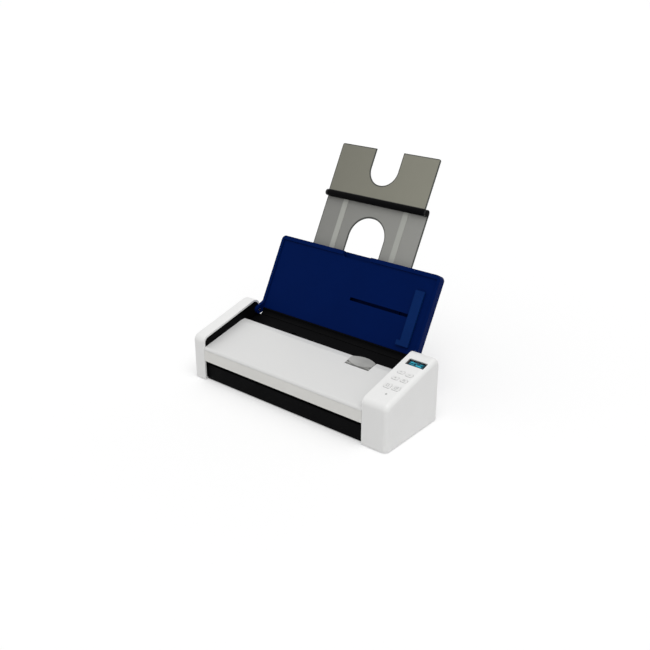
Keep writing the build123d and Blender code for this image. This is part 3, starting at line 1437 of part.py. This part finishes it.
# Paper guide: fence, lip over the paper's edge, stem and carriage
with BuildPart() as paper_guide:
    fence_x0 = GUIDE_X - GUIDE_FENCE_T
    lip_x0 = GUIDE_X - GUIDE_LIP_W
    fence_back = FLOOR_DEPTH - SLIDE_GAP
    block(tray_face(fence_back), fence_x0, GUIDE_LOW, GUIDE_X, GUIDE_HIGH, fence_back + GUIDE_LIP_T)
    block(tray_face(0), lip_x0, GUIDE_LOW, GUIDE_X, GUIDE_HIGH, GUIDE_LIP_T)
    block(tray_face(0), lip_x0 - GUIDE_FOOT_W, GUIDE_LOW, lip_x0, GUIDE_LOW + GUIDE_FOOT_H, GUIDE_LIP_T)
    stem_half = GUIDE_SLOT_H / 2 - SLIDE_GAP
    carriage_top = FLOOR_BACK + SLIDE_GAP
    block(
        tray_face(carriage_top),
        GUIDE_X - STEM_W,
        GUIDE_SLOT_T - stem_half,
        GUIDE_X,
        GUIDE_SLOT_T + stem_half,
        carriage_top - fence_back,
    )
    carriage_x = GUIDE_X - STEM_W / 2
    block(
        tray_face(carriage_top),
        carriage_x - CARRIAGE_W / 2,
        GUIDE_SLOT_T - CARRIAGE_H / 2,
        carriage_x + CARRIAGE_W / 2 - STEM_W,
        GUIDE_SLOT_T + CARRIAGE_H / 2,
        -CARRIAGE_T,
    )
finish(paper_guide.part, "paper_guide")

# First extension panel, with its arched opening, two stripes and two knuckles
KNUCKLE_XS = (BAY_X - EXT_W / 2, BAY_X + EXT_W / 2 - KNUCKLE_W)
STRIPE_BACK = EXT_DEPTH - STRIPE_H - BAR_DEPTH
PANEL_END = BAR_T - sqrt(BAR_R**2 - STRIPE_BACK**2) - BAR_GAP
BAR_AT = (BAR_T, -TRAY_SETBACK - BAR_DEPTH)

with BuildPart() as extension_panel:
    x0, x1 = BAY_X - EXT_W / 2, BAY_X + EXT_W / 2
    block(tray_face(EXT_DEPTH), x0, EXT_START, x1, PANEL_END, -EXT_T)
    with BuildSketch(tray_face(EXT_DEPTH)) as arch:
        with Locations((BAY_X, (ARCH_BOTTOM + ARCH_TOP) / 2)):
            Rectangle(ARCH_W, ARCH_TOP - ARCH_BOTTOM)
        fillet(arch.vertices().group_by(Axis.Y)[-1], radius=ARCH_R)
        fillet(arch.vertices().group_by(Axis.Y)[0], radius=ARCH_FOOT_R)
    extrude(amount=-EXT_T, mode=Mode.SUBTRACT)
    for turn in (-1, 1):
        stripe_x = BAY_X + turn * STRIPE_X
        block(
            tray_face(EXT_DEPTH),
            stripe_x - STRIPE_W / 2,
            EXT_START,
            stripe_x + STRIPE_W / 2,
            PANEL_END,
            STRIPE_H,
        )
    for knuckle_x in KNUCKLE_XS:
        block(tray_face(EXT_DEPTH), knuckle_x, PANEL_END - PAST, knuckle_x + KNUCKLE_W, BAR_T, -EXT_T)
        rod(tray_side(knuckle_x), *BAR_AT, BAR_R, KNUCKLE_W)
        hole(tray_side(knuckle_x), *BAR_AT, ROD_R, KNUCKLE_W)
finish(extension_panel.part, "extension_panel")

with BuildPart() as hinge_rod:
    rod(tray_side(BAY_X - EXT_W / 2), *BAR_AT, ROD_R, EXT_W)
    for turn in (-1, 1):
        rod(tray_side(BAY_X + turn * EXT_W / 2), *BAR_AT, ROD_HEAD_R, turn * ROD_HEAD_T)
finish(hinge_rod.part, "hinge_rod")

FLAP_W = EXT_W - 2 * KNUCKLE_W - 2 * KNUCKLE_GAP

with BuildPart() as hinge_barrel:
    rod(tray_side(BAY_X - FLAP_W / 2), *BAR_AT, BAR_R, FLAP_W)
    hole(tray_side(BAY_X - FLAP_W / 2), *BAR_AT, ROD_R + RUNNING_GAP, FLAP_W)
finish(hinge_barrel.part, "hinge_barrel")

# Second extension panel, folding on the bar, with its U-shaped notch
with BuildPart() as extension_flap:
    with BuildSketch(tray_face(FLAP_DEPTH)) as flap:
        with Locations((BAY_X, (BAR_T + FLAP_END) / 2)):
            Rectangle(FLAP_W, FLAP_END - BAR_T)
        fillet(flap.vertices().group_by(Axis.Y)[-1], radius=FLAP_R)
    extrude(amount=-FLAP_T)
    with BuildSketch(tray_face(FLAP_DEPTH)) as notch:
        with Locations((BAY_X, (FLAP_NOTCH_BOTTOM + FLAP_END + PAST) / 2)):
            Rectangle(FLAP_NOTCH_W, FLAP_END + PAST - FLAP_NOTCH_BOTTOM)
        fillet(notch.vertices().group_by(Axis.Y)[0], radius=FLAP_NOTCH_R)
    extrude(amount=-FLAP_T, mode=Mode.SUBTRACT)
    hole(tray_side(BAY_X - FLAP_W / 2), *BAR_AT, BAR_R, FLAP_W)
finish(extension_flap.part, "extension_flap")
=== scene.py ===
"""Looks of the document scanner: finishes, printed symbols, the lit display, lights and camera."""

import json
from functools import reduce
from math import cos, hypot, pi, radians, sin

import bmesh
import bpy
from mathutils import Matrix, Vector


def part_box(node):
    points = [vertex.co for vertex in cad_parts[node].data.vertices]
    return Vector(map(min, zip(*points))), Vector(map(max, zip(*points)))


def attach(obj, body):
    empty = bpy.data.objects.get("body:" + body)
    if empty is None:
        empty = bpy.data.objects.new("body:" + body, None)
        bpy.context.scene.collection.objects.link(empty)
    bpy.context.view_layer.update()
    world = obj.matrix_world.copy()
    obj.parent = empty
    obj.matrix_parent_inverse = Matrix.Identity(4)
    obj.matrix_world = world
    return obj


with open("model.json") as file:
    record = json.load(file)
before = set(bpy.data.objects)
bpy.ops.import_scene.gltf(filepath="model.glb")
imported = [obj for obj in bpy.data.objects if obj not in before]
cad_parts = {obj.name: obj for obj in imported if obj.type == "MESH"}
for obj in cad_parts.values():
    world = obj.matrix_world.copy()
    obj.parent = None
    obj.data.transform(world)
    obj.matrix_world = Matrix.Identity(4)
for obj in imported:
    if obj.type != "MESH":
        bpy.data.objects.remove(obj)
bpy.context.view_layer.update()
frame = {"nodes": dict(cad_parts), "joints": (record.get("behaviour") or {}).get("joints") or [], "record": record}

nodes = frame["nodes"]
joints = {joint["name"]: joint for joint in frame["joints"]}
slots = {part["node"]: part["material_slot"] for part in frame["record"]["subparts"]}

MM = 0.001


def srgb(red, green, blue):
    """Turns a colour of 0 to 255 as it is seen into the linear values that a shader takes."""

    def linear(value):
        value /= 255
        return value / 12.92 if value <= 0.04045 else ((value + 0.055) / 1.055) ** 2.4

    return linear(red), linear(green), linear(blue)


def shade(colour, factor):
    """The colour made darker by a factor below 1, or paler by one above 1."""
    return tuple(min(1.0, value * factor) for value in colour)


# Directions read from the joints: the face of the control panel, and up the open tray
PANEL_UP = -Vector(joints["key_up_press"]["axis"]).normalized()
PANEL_RIGHT = Vector((1, 0, 0))
PANEL_BACK = PANEL_UP.cross(PANEL_RIGHT)
TRAY_UP = Vector(joints["extension_slide"]["axis"]).normalized()

# Camera: its target is measured from the middle of the body at table height, in metres
CAMERA_TARGET = Vector((0.02286, 0.0, 0.10118))
CAMERA_DISTANCE = 1.02995
CAMERA_AZIMUTH = radians(39.4)
CAMERA_ELEVATION = radians(23.61)
CAMERA_LENS = 49.22

# Light: an even sky and a broad overhead lamp, which together light a level surface at about 1
SKY = 0.55
LAMP = 1.42
LAMP_FROM = Vector((0.31, -0.21, 0.93))
LAMP_SPREAD = radians(50)

# Floor: half its side in metres, its colour, and the glow that makes it white where it is seen
FLOOR_HALF = 20.0
FLOOR_COLOUR = (0.72, 0.72, 0.72)
FLOOR_LIFT = 0.31

# Colours as they are seen in even light
CAP_WHITE = srgb(237, 237, 236)
COVER_SILVER = srgb(217, 217, 216)
STRIP_WHITE = srgb(228, 227, 223)
BLACK = srgb(5, 5, 6)
NAVY = srgb(1, 23, 76)
# Painted light: NAVY made paler for the lit faces of the paper guide
LIT_GUIDE_NAVY = srgb(4, 36, 90)
PANEL_SMOKE = srgb(140, 140, 136)
PANEL_BAND = srgb(172, 173, 167)
EDGE_SMOKE = srgb(62, 64, 60)
FLAP_SMOKE = srgb(130, 129, 117)
LEVER_GREY = srgb(158, 158, 156)
INK = srgb(172, 172, 172)
SOLDER_MASK = srgb(20, 92, 48)
COPPER_TRACK = srgb(38, 122, 66)
TIN = srgb(196, 190, 160)
SCREEN_TEAL = srgb(0, 84, 108)
SCREEN_CYAN = srgb(40, 214, 244)
SCREEN_UNLIT = srgb(2, 30, 38)
SURROUND = srgb(6, 7, 8)
SURROUND_GLOW = srgb(4, 6, 8)

# Moulded plastics: colour, roughness, specular level, size and depth of the grain in millimetres,
# how much the colour clouds, and the size of the clouds in millimetres
PLASTICS = {
    "cap_white": (CAP_WHITE, 0.38, 0.35, 0.5, 0.006, 0.008, 30),
    "strip_white": (STRIP_WHITE, 0.38, 0.35, 0.5, 0.006, 0.008, 30),
    "black_plastic": (BLACK, 0.6, 0.04, 0.4, 0.02, 0.15, 30),
    "navy_plastic": (NAVY, 0.5, 0.02, 0.4, 0.015, 0.05, 60),
    # Painted light: a paler navy for the lit faces of the paper guide
    "guide_navy_painted_light": (LIT_GUIDE_NAVY, 0.5, 0.05, 0.4, 0.015, 0.05, 40),
    "grey_plastic": (srgb(152, 151, 148), 0.45, 0.3, 0.35, 0.012, 0.03, 12),
    "key_grey": (srgb(230, 230, 229), 0.42, 0.3, 0.3, 0.006, 0.01, 6),
    "gear_plastic": (srgb(233, 230, 218), 0.4, 0.4, 0.4, 0.008, 0.02, 8),
    "chip_black": (srgb(40, 40, 42), 0.6, 0.3, 0.2, 0.01, 0.1, 5),
    "ink": (INK, 0.5, 0.3, 0.2, 0.004, 0.06, 2),
}

# Bare metals: colour, roughness, scale of the ground lines along each axis, and how much the
# colour clouds
METALS = {
    "steel": (srgb(196, 197, 200), 0.3, (1, 0.03, 0.03), 0.04),
    "zinc": (srgb(188, 190, 192), 0.38, (1, 1, 1), 0.1),
}

# Rubbers: colour, and colour of the paper dust on them
RUBBERS = {
    "rubber": (srgb(46, 47, 49), srgb(92, 91, 88)),
    "foot_rubber": (srgb(38, 38, 38), srgb(70, 68, 66)),
}

# Nodes whose finish differs from that of their material slot
OWN_FINISH = {
    "extension_panel": "smoke_panel",
    "display_window": "display_window",
    "release_lever": "lever_grey",
    # The paper guide takes the paler navy, painted light on its lit faces
    "paper_guide": "guide_navy_painted_light",
}

# Extension, in millimetres from its middle line and up the tray from the hinge bar: the panel's
# bands, the dark edges, the reach of the black knuckles, the panel's arch and the flap's notch
BAND_X = 46.0
BAND_HALF = 4.0
BAND_SOFT = 0.8
EDGE_DARK = 1.3
EDGE_FULL = 0.6 * EDGE_DARK
KNUCKLE_REACH = 4.0
KNUCKLE_SOFT = 0.3
ARCH_AT = -46.6
ARCH_HALF = 27.0
NOTCH_AT = 40.7
NOTCH_HALF = 20.5

# Display picture, in millimetres from the middle of the window: the lit field, the softness of
# edges, the pixels, and the brighter blocks, each as its centre, half width and half height
SCREEN_HALF_W = 9.6
SCREEN_HALF_H = 3.6
SCREEN_SOFT = 0.1
PIXEL = 0.35
SCREEN_BLOCKS = (
    ((-5.9, 1.5), 2.6, 0.9),
    ((-1.4, 1.3), 1.1, 0.5),
    ((5.9, 1.7), 1.7, 0.4),
    ((-5.2, -1.5), 3.0, 0.4),
    ((3.7, -1.4), 3.6, 1.2),
)

# Printed strokes, in millimetres: how far they stand out, how deep they are sunk, their width, and
# the cosine at a bend below which the mitre grows no further
PRINT_RISE = 0.03
PRINT_SUNK = 0.1
PRINT_W = 0.45
MITRE_LIMIT = 0.5


def centre_of(node):
    """The middle of a node's box."""
    low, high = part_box(node)
    return (low + high) / 2


def reach_of(node, direction, origin):
    """How far a node reaches from origin in a direction, in metres."""
    far = max(vertex.co.dot(direction) for vertex in nodes[node].data.vertices)
    return far - origin.dot(direction)


class Nodes:
    """A node tree under construction: most calls add nodes and return the socket to use next."""

    def __init__(self, tree):
        self.tree = tree

    def node(self, kind, **settings):
        """Adds a node with the given properties, and returns the node itself."""
        made = self.tree.nodes.new(kind)
        for key, value in settings.items():
            setattr(made, key, value)
        return made

    def put(self, socket, value):
        """Links a socket to another, or sets it to a value."""
        if isinstance(value, bpy.types.NodeSocket):
            self.tree.links.new(value, socket)
        else:
            socket.default_value = value

    def math(self, operation, a, b=0.0):
        """One step of arithmetic on one or two values."""
        made = self.node("ShaderNodeMath", operation=operation)
        self.put(made.inputs[0], a)
        self.put(made.inputs[1], b)
        return made.outputs[0]

    def fold(self, operation, values):
        """The same step of arithmetic over all the values, such as MAXIMUM."""
        return reduce(lambda a, b: self.math(operation, a, b), values)

    def remap(self, value, low, high, to_low=0.0, to_high=1.0, clamp=True):
        """Takes the range from low to high to that from to_low to to_high."""
        made = self.node("ShaderNodeMapRange", clamp=clamp)
        for socket, number in zip(made.inputs, (value, low, high, to_low, to_high)):
            self.put(socket, number)
        return made.outputs[0]

    def seen_rays(self):
        """1 for rays that show the background: from the camera, in gloss or through glass."""
        path = self.node("ShaderNodeLightPath").outputs
        rays = ("Is Camera Ray", "Is Glossy Ray", "Is Transmission Ray")
        return self.fold("MAXIMUM", [path[ray] for ray in rays])


class Finish(Nodes):
    """A material under construction. Sizes and depths are in millimetres."""

    def __init__(self, name):
        self.name = name
        self.material = bpy.data.materials.new(name)
        self.material.use_nodes = True
        super().__init__(self.material.node_tree)
        self.shader = self.tree.nodes["Principled BSDF"]
        self.place = self.node("ShaderNodeTexCoord").outputs["Object"]

    def set(self, **values):
        """Sets the shader's own sockets, such as Specular_IOR_Level=0.3."""
        for key, value in values.items():
            self.put(self.shader.inputs[key.replace("_", " ")], value)

    def stretch(self, scale):
        """The surface point with each axis scaled by its own factor."""
        made = self.node("ShaderNodeMapping")
        self.put(made.inputs["Vector"], self.place)
        made.inputs["Scale"].default_value = scale
        return made.outputs[0]

    def noise(self, size, detail=2.0, vector=None, rough=0.5):
        """Noise whose features are about size across."""
        made = self.node("ShaderNodeTexNoise")
        self.put(made.inputs["Vector"], vector or self.place)
        made.inputs["Scale"].default_value = 1 / (size * MM)
        made.inputs["Detail"].default_value = detail
        made.inputs["Roughness"].default_value = rough
        return made.outputs["Fac"]

    def spread(self, noise, low, high):
        """Takes the middle of the noise, where most of it lies, to the range from low to high."""
        return self.remap(noise, 0.3, 0.7, low, high)

    def cells(self, size, feature="F1"):
        """Distance from the centre of cells about size across, or from their edges."""
        made = self.node("ShaderNodeTexVoronoi", feature=feature)
        self.put(made.inputs["Vector"], self.place)
        made.inputs["Scale"].default_value = 1 / (size * MM)
        return made.outputs["Distance"]

    def blend(self, share, first, second):
        """Mixes two colours, each a triple or a socket."""
        made = self.node("ShaderNodeMix", data_type="RGBA")
        self.put(made.inputs[0], share)
        for socket, colour in ((made.inputs[6], first), (made.inputs[7], second)):
            self.put(socket, colour if isinstance(colour, bpy.types.NodeSocket) else (*colour, 1))
        return made.outputs[2]

    def along(self, direction, origin):
        """How far the surface point lies from origin along a direction, in millimetres."""
        made = self.node("ShaderNodeVectorMath", operation="DOT_PRODUCT")
        self.put(made.inputs[0], self.place)
        made.inputs[1].default_value = direction
        start = origin.dot(direction)
        return self.remap(made.outputs["Value"], start, start + MM, clamp=False)

    def band(self, value, centre, half, soft):
        """1 where value is within half of centre, with an edge that is soft to either side."""
        away = self.math("ABSOLUTE", self.math("SUBTRACT", value, centre))
        return self.remap(away, half - soft, half + soft, 1, 0)

    def box(self, u, v, centre, half_w, half_h):
        """1 in a box on the display, for a surface point that lies u across it and v up it."""
        across = self.band(u, centre[0], half_w, SCREEN_SOFT)
        up = self.band(v, centre[1], half_h, SCREEN_SOFT)
        return self.math("MULTIPLY", across, up)

    def bump(self, height, depth):
        """Relief of the given depth, from a height of 0 to 1."""
        made = self.node("ShaderNodeBump")
        made.inputs["Strength"].default_value = 1.0
        made.inputs["Distance"].default_value = depth * MM
        self.put(made.inputs["Height"], height)
        self.put(self.shader.inputs["Normal"], made.outputs[0])

    def mottle(self, colour, amount, size):
        """The colour with slight cloudy change, as moulded or painted surfaces have."""
        share = self.spread(self.noise(size, detail=3), 0, 1)
        return self.blend(share, shade(colour, 1 - amount), shade(colour, 1 + amount))

    def uneven_gloss(self, roughness, change, size):
        """Roughness that drifts by change to either side, over patches about size across."""
        self.set(Roughness=self.spread(self.noise(size), roughness - change, roughness + change))


def grained(name, roughness, specular, grain=0.35, depth=0.012):
    """Injection-moulded plastic with spark-eroded grain, its colour still to be set."""
    finish = Finish(name)
    finish.set(Specular_IOR_Level=specular)
    finish.uneven_gloss(roughness, change=0.04, size=18)
    finish.bump(finish.noise(grain), depth)
    return finish


def moulded(name, colour, roughness, specular, grain, depth, mottling, cloud):
    """Injection-moulded plastic of one slightly cloudy colour."""
    finish = grained(name, roughness, specular, grain, depth)
    finish.set(Base_Color=finish.mottle(colour, mottling, cloud))
    return finish


def painted(name, colour):
    """Satin silver paint: fine flakes under a thin clear coat."""
    finish = Finish(name)
    spark = finish.remap(finish.cells(size=0.22), 0.0, 0.6)
    cloud = finish.mottle(colour, amount=0.012, size=60)
    finish.set(Base_Color=finish.blend(spark, cloud, shade(colour, 1.05)), Metallic=0.15)
    finish.uneven_gloss(0.42, change=0.03, size=25)
    finish.set(Specular_IOR_Level=0.4, Coat_Weight=0.15, Coat_Roughness=0.25)
    finish.bump(finish.noise(size=0.5), depth=0.006)
    return finish


def metal(name, colour, roughness, stretch, mottling):
    """Bare metal with drawn or ground lines, stretched along one axis."""
    finish = Finish(name)
    lines = finish.noise(size=0.25, detail=3, vector=finish.stretch(stretch))
    shine = finish.spread(lines, roughness - 0.08, roughness + 0.1)
    finish.set(Base_Color=finish.mottle(colour, mottling, size=3), Metallic=1.0, Roughness=shine)
    finish.bump(lines, depth=0.004)
    return finish


def rubber(name, colour, dust):
    """Matt rubber with a trace of paper dust."""
    finish = Finish(name)
    cloud = finish.remap(finish.noise(size=1.2, detail=4, rough=0.7), 0.55, 0.8)
    finish.set(Base_Color=finish.blend(cloud, colour, dust), Specular_IOR_Level=0.2)
    finish.uneven_gloss(0.8, change=0.08, size=4)
    finish.bump(finish.noise(size=0.3, detail=3), depth=0.02)
    return finish


def smoky_sheet(name, node, colour, alpha, hole_at, hole_half, turn, bands):
    """Smoky see-through sheet, made a little paler to the right by painted light, with dark edges.

    The sheet has one opening of half width hole_half, with a round end about the point hole_at
    millimetres up the tray from the hinge bar. That end points up the tray for turn 1 and down
    it for -1. With bands, two pale bands run up the sheet.
    """
    finish = grained(name, roughness=0.32, specular=0.25, grain=0.6, depth=0.006)
    low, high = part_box(node)
    half_w = (high.x - low.x) / 2 / MM
    bar = Vector(joints["flap_fold"]["pos_m"])
    bar.x = (low.x + high.x) / 2
    across = finish.along(PANEL_RIGHT, bar)
    up = finish.along(TRAY_UP, bar)

    # Painted light: a darker left and a paler right are blended across the sheet
    left, right = (finish.mottle(shade(colour, factor), 0.008, 60) for factor in (0.93, 1.2))
    tone = finish.blend(finish.remap(across, -half_w, half_w), left, right)
    if bands:
        pair = (finish.band(across, x, BAND_HALF, BAND_SOFT) for x in (-BAND_X, BAND_X))
        tone = finish.blend(finish.math("ADD", *pair), tone, PANEL_BAND)

    beyond = finish.math("MULTIPLY", finish.math("SUBTRACT", up, hole_at), turn)
    round_end = finish.math(
        "ADD",
        finish.math("POWER", across, 2.0),
        finish.math("POWER", finish.math("MAXIMUM", beyond, 0.0), 2.0),
    )
    from_hole = finish.math("SUBTRACT", finish.math("SQRT", round_end), hole_half)
    from_side = finish.math("SUBTRACT", half_w, finish.math("ABSOLUTE", across))
    from_top = finish.math("SUBTRACT", reach_of(node, TRAY_UP, bar) / MM, up)
    nearest = finish.fold("MINIMUM", (from_hole, from_side, from_top))
    tone = finish.blend(finish.remap(nearest, EDGE_FULL, EDGE_DARK, 1, 0), tone, EDGE_SMOKE)

    near_bar = finish.band(up, 0.0, KNUCKLE_REACH, KNUCKLE_SOFT)
    finish.set(
        Base_Color=finish.blend(near_bar, tone, BLACK),
        Alpha=finish.remap(near_bar, 0, 1, alpha, 1.0),
    )
    return finish


def board_finish(name):
    """Green solder mask with copper tracks showing through and tinned pads."""
    finish = Finish(name)
    track = finish.remap(finish.cells(size=2.6, feature="DISTANCE_TO_EDGE"), 0.04, 0.07, 1, 0)
    pads = finish.remap(finish.cells(size=1.9), 0.10, 0.14, 1, 0)
    tone = finish.blend(track, finish.mottle(SOLDER_MASK, amount=0.08, size=8), COPPER_TRACK)
    finish.set(Base_Color=finish.blend(pads, tone, TIN), Specular_IOR_Level=0.5)
    finish.uneven_gloss(0.35, change=0.05, size=6)
    finish.bump(track, depth=0.03)
    return finish


def glass_finish(name):
    """Clear glass over the image sensors, seen as a dark gloss strip."""
    finish = Finish(name)
    finish.set(Base_Color=finish.mottle(srgb(205, 222, 220), amount=0.02, size=20))
    finish.set(Alpha=0.35, Specular_IOR_Level=0.6)
    finish.uneven_gloss(0.06, change=0.02, size=12)
    return finish


def window_finish(name):
    """Dark tinted display window with a faint film of handling."""
    finish = Finish(name)
    smear = finish.remap(finish.noise(size=9, detail=4), 0.45, 0.75, 0.12, 0.2)
    finish.set(Base_Color=finish.mottle(srgb(6, 8, 9), amount=0.1, size=6), Roughness=smear)
    finish.set(Alpha=0.12, Specular_IOR_Level=0.1)
    return finish


def display_finish(name):
    """Lit display: a black surround, a teal field of fine pixels and a few brighter blocks."""
    finish = Finish(name)
    middle = centre_of("display_window")
    u = finish.along(PANEL_RIGHT, middle)
    v = finish.along(PANEL_BACK, middle)
    field = finish.box(u, v, (0, 0), SCREEN_HALF_W, SCREEN_HALF_H)
    blocks = finish.fold("MAXIMUM", [finish.box(u, v, *block) for block in SCREEN_BLOCKS])
    waves = [finish.math("SINE", finish.math("MULTIPLY", way, 2 * pi / PIXEL)) for way in (u, v)]
    pixels = finish.remap(finish.fold("MAXIMUM", waves), 0.6, 1.0, 1.0, 0.75)
    lit = finish.blend(blocks, SCREEN_TEAL, SCREEN_CYAN)
    finish.set(
        Base_Color=finish.blend(field, SURROUND, SCREEN_UNLIT),
        Emission_Color=finish.blend(field, SURROUND_GLOW, lit),
        Emission_Strength=finish.math("MULTIPLY", pixels, finish.remap(field, 0, 1, 0.02, 1.0)),
    )
    finish.uneven_gloss(0.25, change=0.03, size=10)
    return finish


def lever_finish(name):
    """Satin grey plastic, with painted light that makes it paler towards its left end."""
    finish = grained(name, roughness=0.45, specular=0.25)
    low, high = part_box("release_lever")
    length = (high.x - low.x) / MM
    share = finish.remap(finish.along(PANEL_RIGHT, low), 0.1 * length, 0.6 * length)
    # Painted light: the left end is blended towards a paler grey
    pale, plain = (finish.mottle(shade(LEVER_GREY, factor), 0.02, 12) for factor in (1.3, 1.0))
    finish.set(Base_Color=finish.blend(share, pale, plain))
    return finish


def light_finish(name):
    """Frosted light pipe, unlit."""
    finish = Finish(name)
    finish.set(Base_Color=finish.mottle(srgb(176, 178, 176), amount=0.05, size=1.0))
    finish.set(Specular_IOR_Level=0.4)
    finish.uneven_gloss(0.35, change=0.05, size=2)
    return finish


def all_finishes():
    """Every finish by its name: those of the material slots and of OWN_FINISH, and the ink."""
    finishes = [
        *(moulded(name, *settings) for name, settings in PLASTICS.items()),
        *(metal(name, *settings) for name, settings in METALS.items()),
        *(rubber(name, *colours) for name, colours in RUBBERS.items()),
        painted("cover_silver", COVER_SILVER),
        smoky_sheet(
            "smoke_plastic",
            node="extension_flap",
            colour=FLAP_SMOKE,
            alpha=0.93,
            hole_at=NOTCH_AT,
            hole_half=NOTCH_HALF,
            turn=-1,
            bands=False,
        ),
        smoky_sheet(
            "smoke_panel",
            node="extension_panel",
            colour=PANEL_SMOKE,
            alpha=0.92,
            hole_at=ARCH_AT,
            hole_half=ARCH_HALF,
            turn=1,
            bands=True,
        ),
        board_finish("board_green"),
        glass_finish("glass"),
        window_finish("display_window"),
        display_finish("display"),
        lever_finish("lever_grey"),
        light_finish("light"),
    ]
    return {finish.name: finish for finish in finishes}


def add_object(name, data):
    """Adds an object to the scene."""
    made = bpy.data.objects.new(name, data)
    bpy.context.scene.collection.objects.link(made)
    return made


def add_mesh(name, mesh, material):
    """Turns a mesh under construction into an object in the scene."""
    data = bpy.data.meshes.new(name)
    mesh.to_mesh(data)
    mesh.free()
    data.materials.append(material)
    return add_object(name, data)


def left_of(a, b):
    """The unit direction to the left of the way from a to b."""
    length = hypot(b[0] - a[0], b[1] - a[1])
    return (a[1] - b[1]) / length, (b[0] - a[0]) / length


def ribbon(mesh, points, closed, lay):
    """Adds a flat raised stroke along points; lay places a point of the drawing at a height."""
    count = len(points)
    rings = []
    for i, point in enumerate(points):
        sides = []
        if closed or i:
            sides.append(left_of(points[i - 1], point))
        if closed or i < count - 1:
            sides.append(left_of(point, points[(i + 1) % count]))
        nx, ny = (sum(parts) for parts in zip(*sides))
        length = hypot(nx, ny)
        nx, ny = nx / length, ny / length
        half = PRINT_W / 2 / max(MITRE_LIMIT, nx * sides[0][0] + ny * sides[0][1])
        left = (point[0] + nx * half, point[1] + ny * half)
        right = (point[0] - nx * half, point[1] - ny * half)
        corners = (
            lay(*left, -PRINT_SUNK),
            lay(*left, PRINT_RISE),
            lay(*right, PRINT_RISE),
            lay(*right, -PRINT_SUNK),
        )
        rings.append([mesh.verts.new(corner) for corner in corners])
    for i in range(count if closed else count - 1):
        one, two = rings[i], rings[(i + 1) % count]
        for k in range(4):
            mesh.faces.new((one[k], two[k], two[(k + 1) % 4], one[(k + 1) % 4]))
    if not closed:
        mesh.faces.new(rings[0])
        mesh.faces.new(rings[-1][::-1])


def print_symbol(key, strokes, material):
    """Prints strokes, each (points, closed), on the top of a key."""
    middle = centre_of(key)
    origin = middle + PANEL_UP * reach_of(key, PANEL_UP, middle)

    def lay(x, y, height):
        return origin + (PANEL_RIGHT * x + PANEL_BACK * y + PANEL_UP * height) * MM

    mesh = bmesh.new()
    for points, closed in strokes:
        ribbon(mesh, points, closed, lay)
    bmesh.ops.recalc_face_normals(mesh, faces=mesh.faces)
    piece = add_mesh("symbol_" + key, mesh, material)
    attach(piece, key)


def sheet_symbol(x, y, w, h, fold):
    """A sheet of paper with one folded corner."""
    return [
        (x - w / 2, y - h / 2),
        (x + w / 2, y - h / 2),
        (x + w / 2, y + h / 2 - fold),
        (x + w / 2 - fold, y + h / 2),
        (x - w / 2, y + h / 2),
    ]


# Symbols on the keys, in millimetres from the middle of each: strokes as (points, closed)
SYMBOLS = {
    "key_up": [([(-1.5, -0.7), (0, 0.8), (1.5, -0.7)], False)],
    "key_down": [([(-1.5, 0.7), (0, -0.8), (1.5, 0.7)], False)],
    "key_cancel": [([(-1.1, -1.1), (1.1, 1.1)], False), ([(-1.1, 1.1), (1.1, -1.1)], False)],
    "key_menu": [([(-1.6, y), (1.6, y)], False) for y in (-1.1, 0, 1.1)],
    "key_simplex": [(sheet_symbol(0, 0, 2.8, 3.8, 0.9), True)],
    "key_duplex": [
        (sheet_symbol(-0.6, -0.5, 2.6, 3.4, 0.8), True),
        ([(0.1, 1.9), (1.7, 1.9), (1.7, -1.3)], False),
    ],
}


def add_floor():
    """Pale matt floor that keeps the shadow, and is white where it is seen without one."""
    material = bpy.data.materials.new("floor")
    material.use_nodes = True
    look = Nodes(material.node_tree)
    look.tree.nodes.clear()
    matt = look.node("ShaderNodeBsdfDiffuse")
    look.put(matt.inputs["Color"], (*FLOOR_COLOUR, 1))
    glow = look.node("ShaderNodeEmission")
    look.put(glow.inputs["Strength"], look.math("MULTIPLY", look.seen_rays(), FLOOR_LIFT))
    both = look.node("ShaderNodeAddShader")
    look.put(both.inputs[0], matt.outputs[0])
    look.put(both.inputs[1], glow.outputs[0])
    look.put(look.node("ShaderNodeOutputMaterial").inputs["Surface"], both.outputs[0])

    mesh = bmesh.new()
    bmesh.ops.create_grid(mesh, x_segments=1, y_segments=1, size=FLOOR_HALF)
    floor = add_mesh("floor", mesh, material)


def add_light():
    """An even sky, white where it is seen, and one broad lamp from overhead."""
    world = bpy.data.worlds.new("sky")
    world.use_nodes = True
    bpy.context.scene.world = world
    look = Nodes(world.node_tree)
    sky = look.tree.nodes["Background"]
    look.put(sky.inputs["Color"], (1, 1, 1, 1))
    look.put(sky.inputs["Strength"], look.remap(look.seen_rays(), 0, 1, SKY, 1.0))

    data = bpy.data.lights.new("lamp", "SUN")
    data.energy = LAMP
    data.angle = LAMP_SPREAD
    lamp = add_object("lamp", data)
    lamp.rotation_euler = LAMP_FROM.to_track_quat("Z", "Y").to_euler()


def add_camera():
    """Camera at the photo's angle, which follows the middle of the body's depth."""
    low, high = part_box("right_end_cap")
    target = CAMERA_TARGET + Vector((0, (low.y + high.y) / 2, 0))
    level = cos(CAMERA_ELEVATION)
    towards = Vector(
        (sin(CAMERA_AZIMUTH) * level, -cos(CAMERA_AZIMUTH) * level, sin(CAMERA_ELEVATION))
    )
    data = bpy.data.cameras.new("camera")
    data.lens = CAMERA_LENS
    camera = add_object("camera", data)
    camera.location = target + towards * CAMERA_DISTANCE
    camera.rotation_euler = towards.to_track_quat("Z", "Y").to_euler()
    bpy.context.scene.camera = camera


finishes = all_finishes()
for name, piece in nodes.items():
    piece.data.materials.clear()
    piece.data.materials.append(finishes[OWN_FINISH.get(name, slots[name])].material)
for key, strokes in SYMBOLS.items():
    print_symbol(key, strokes, finishes["ink"].material)
add_floor()
add_light()
add_camera()
bpy.context.scene.view_settings.view_transform = "Standard"
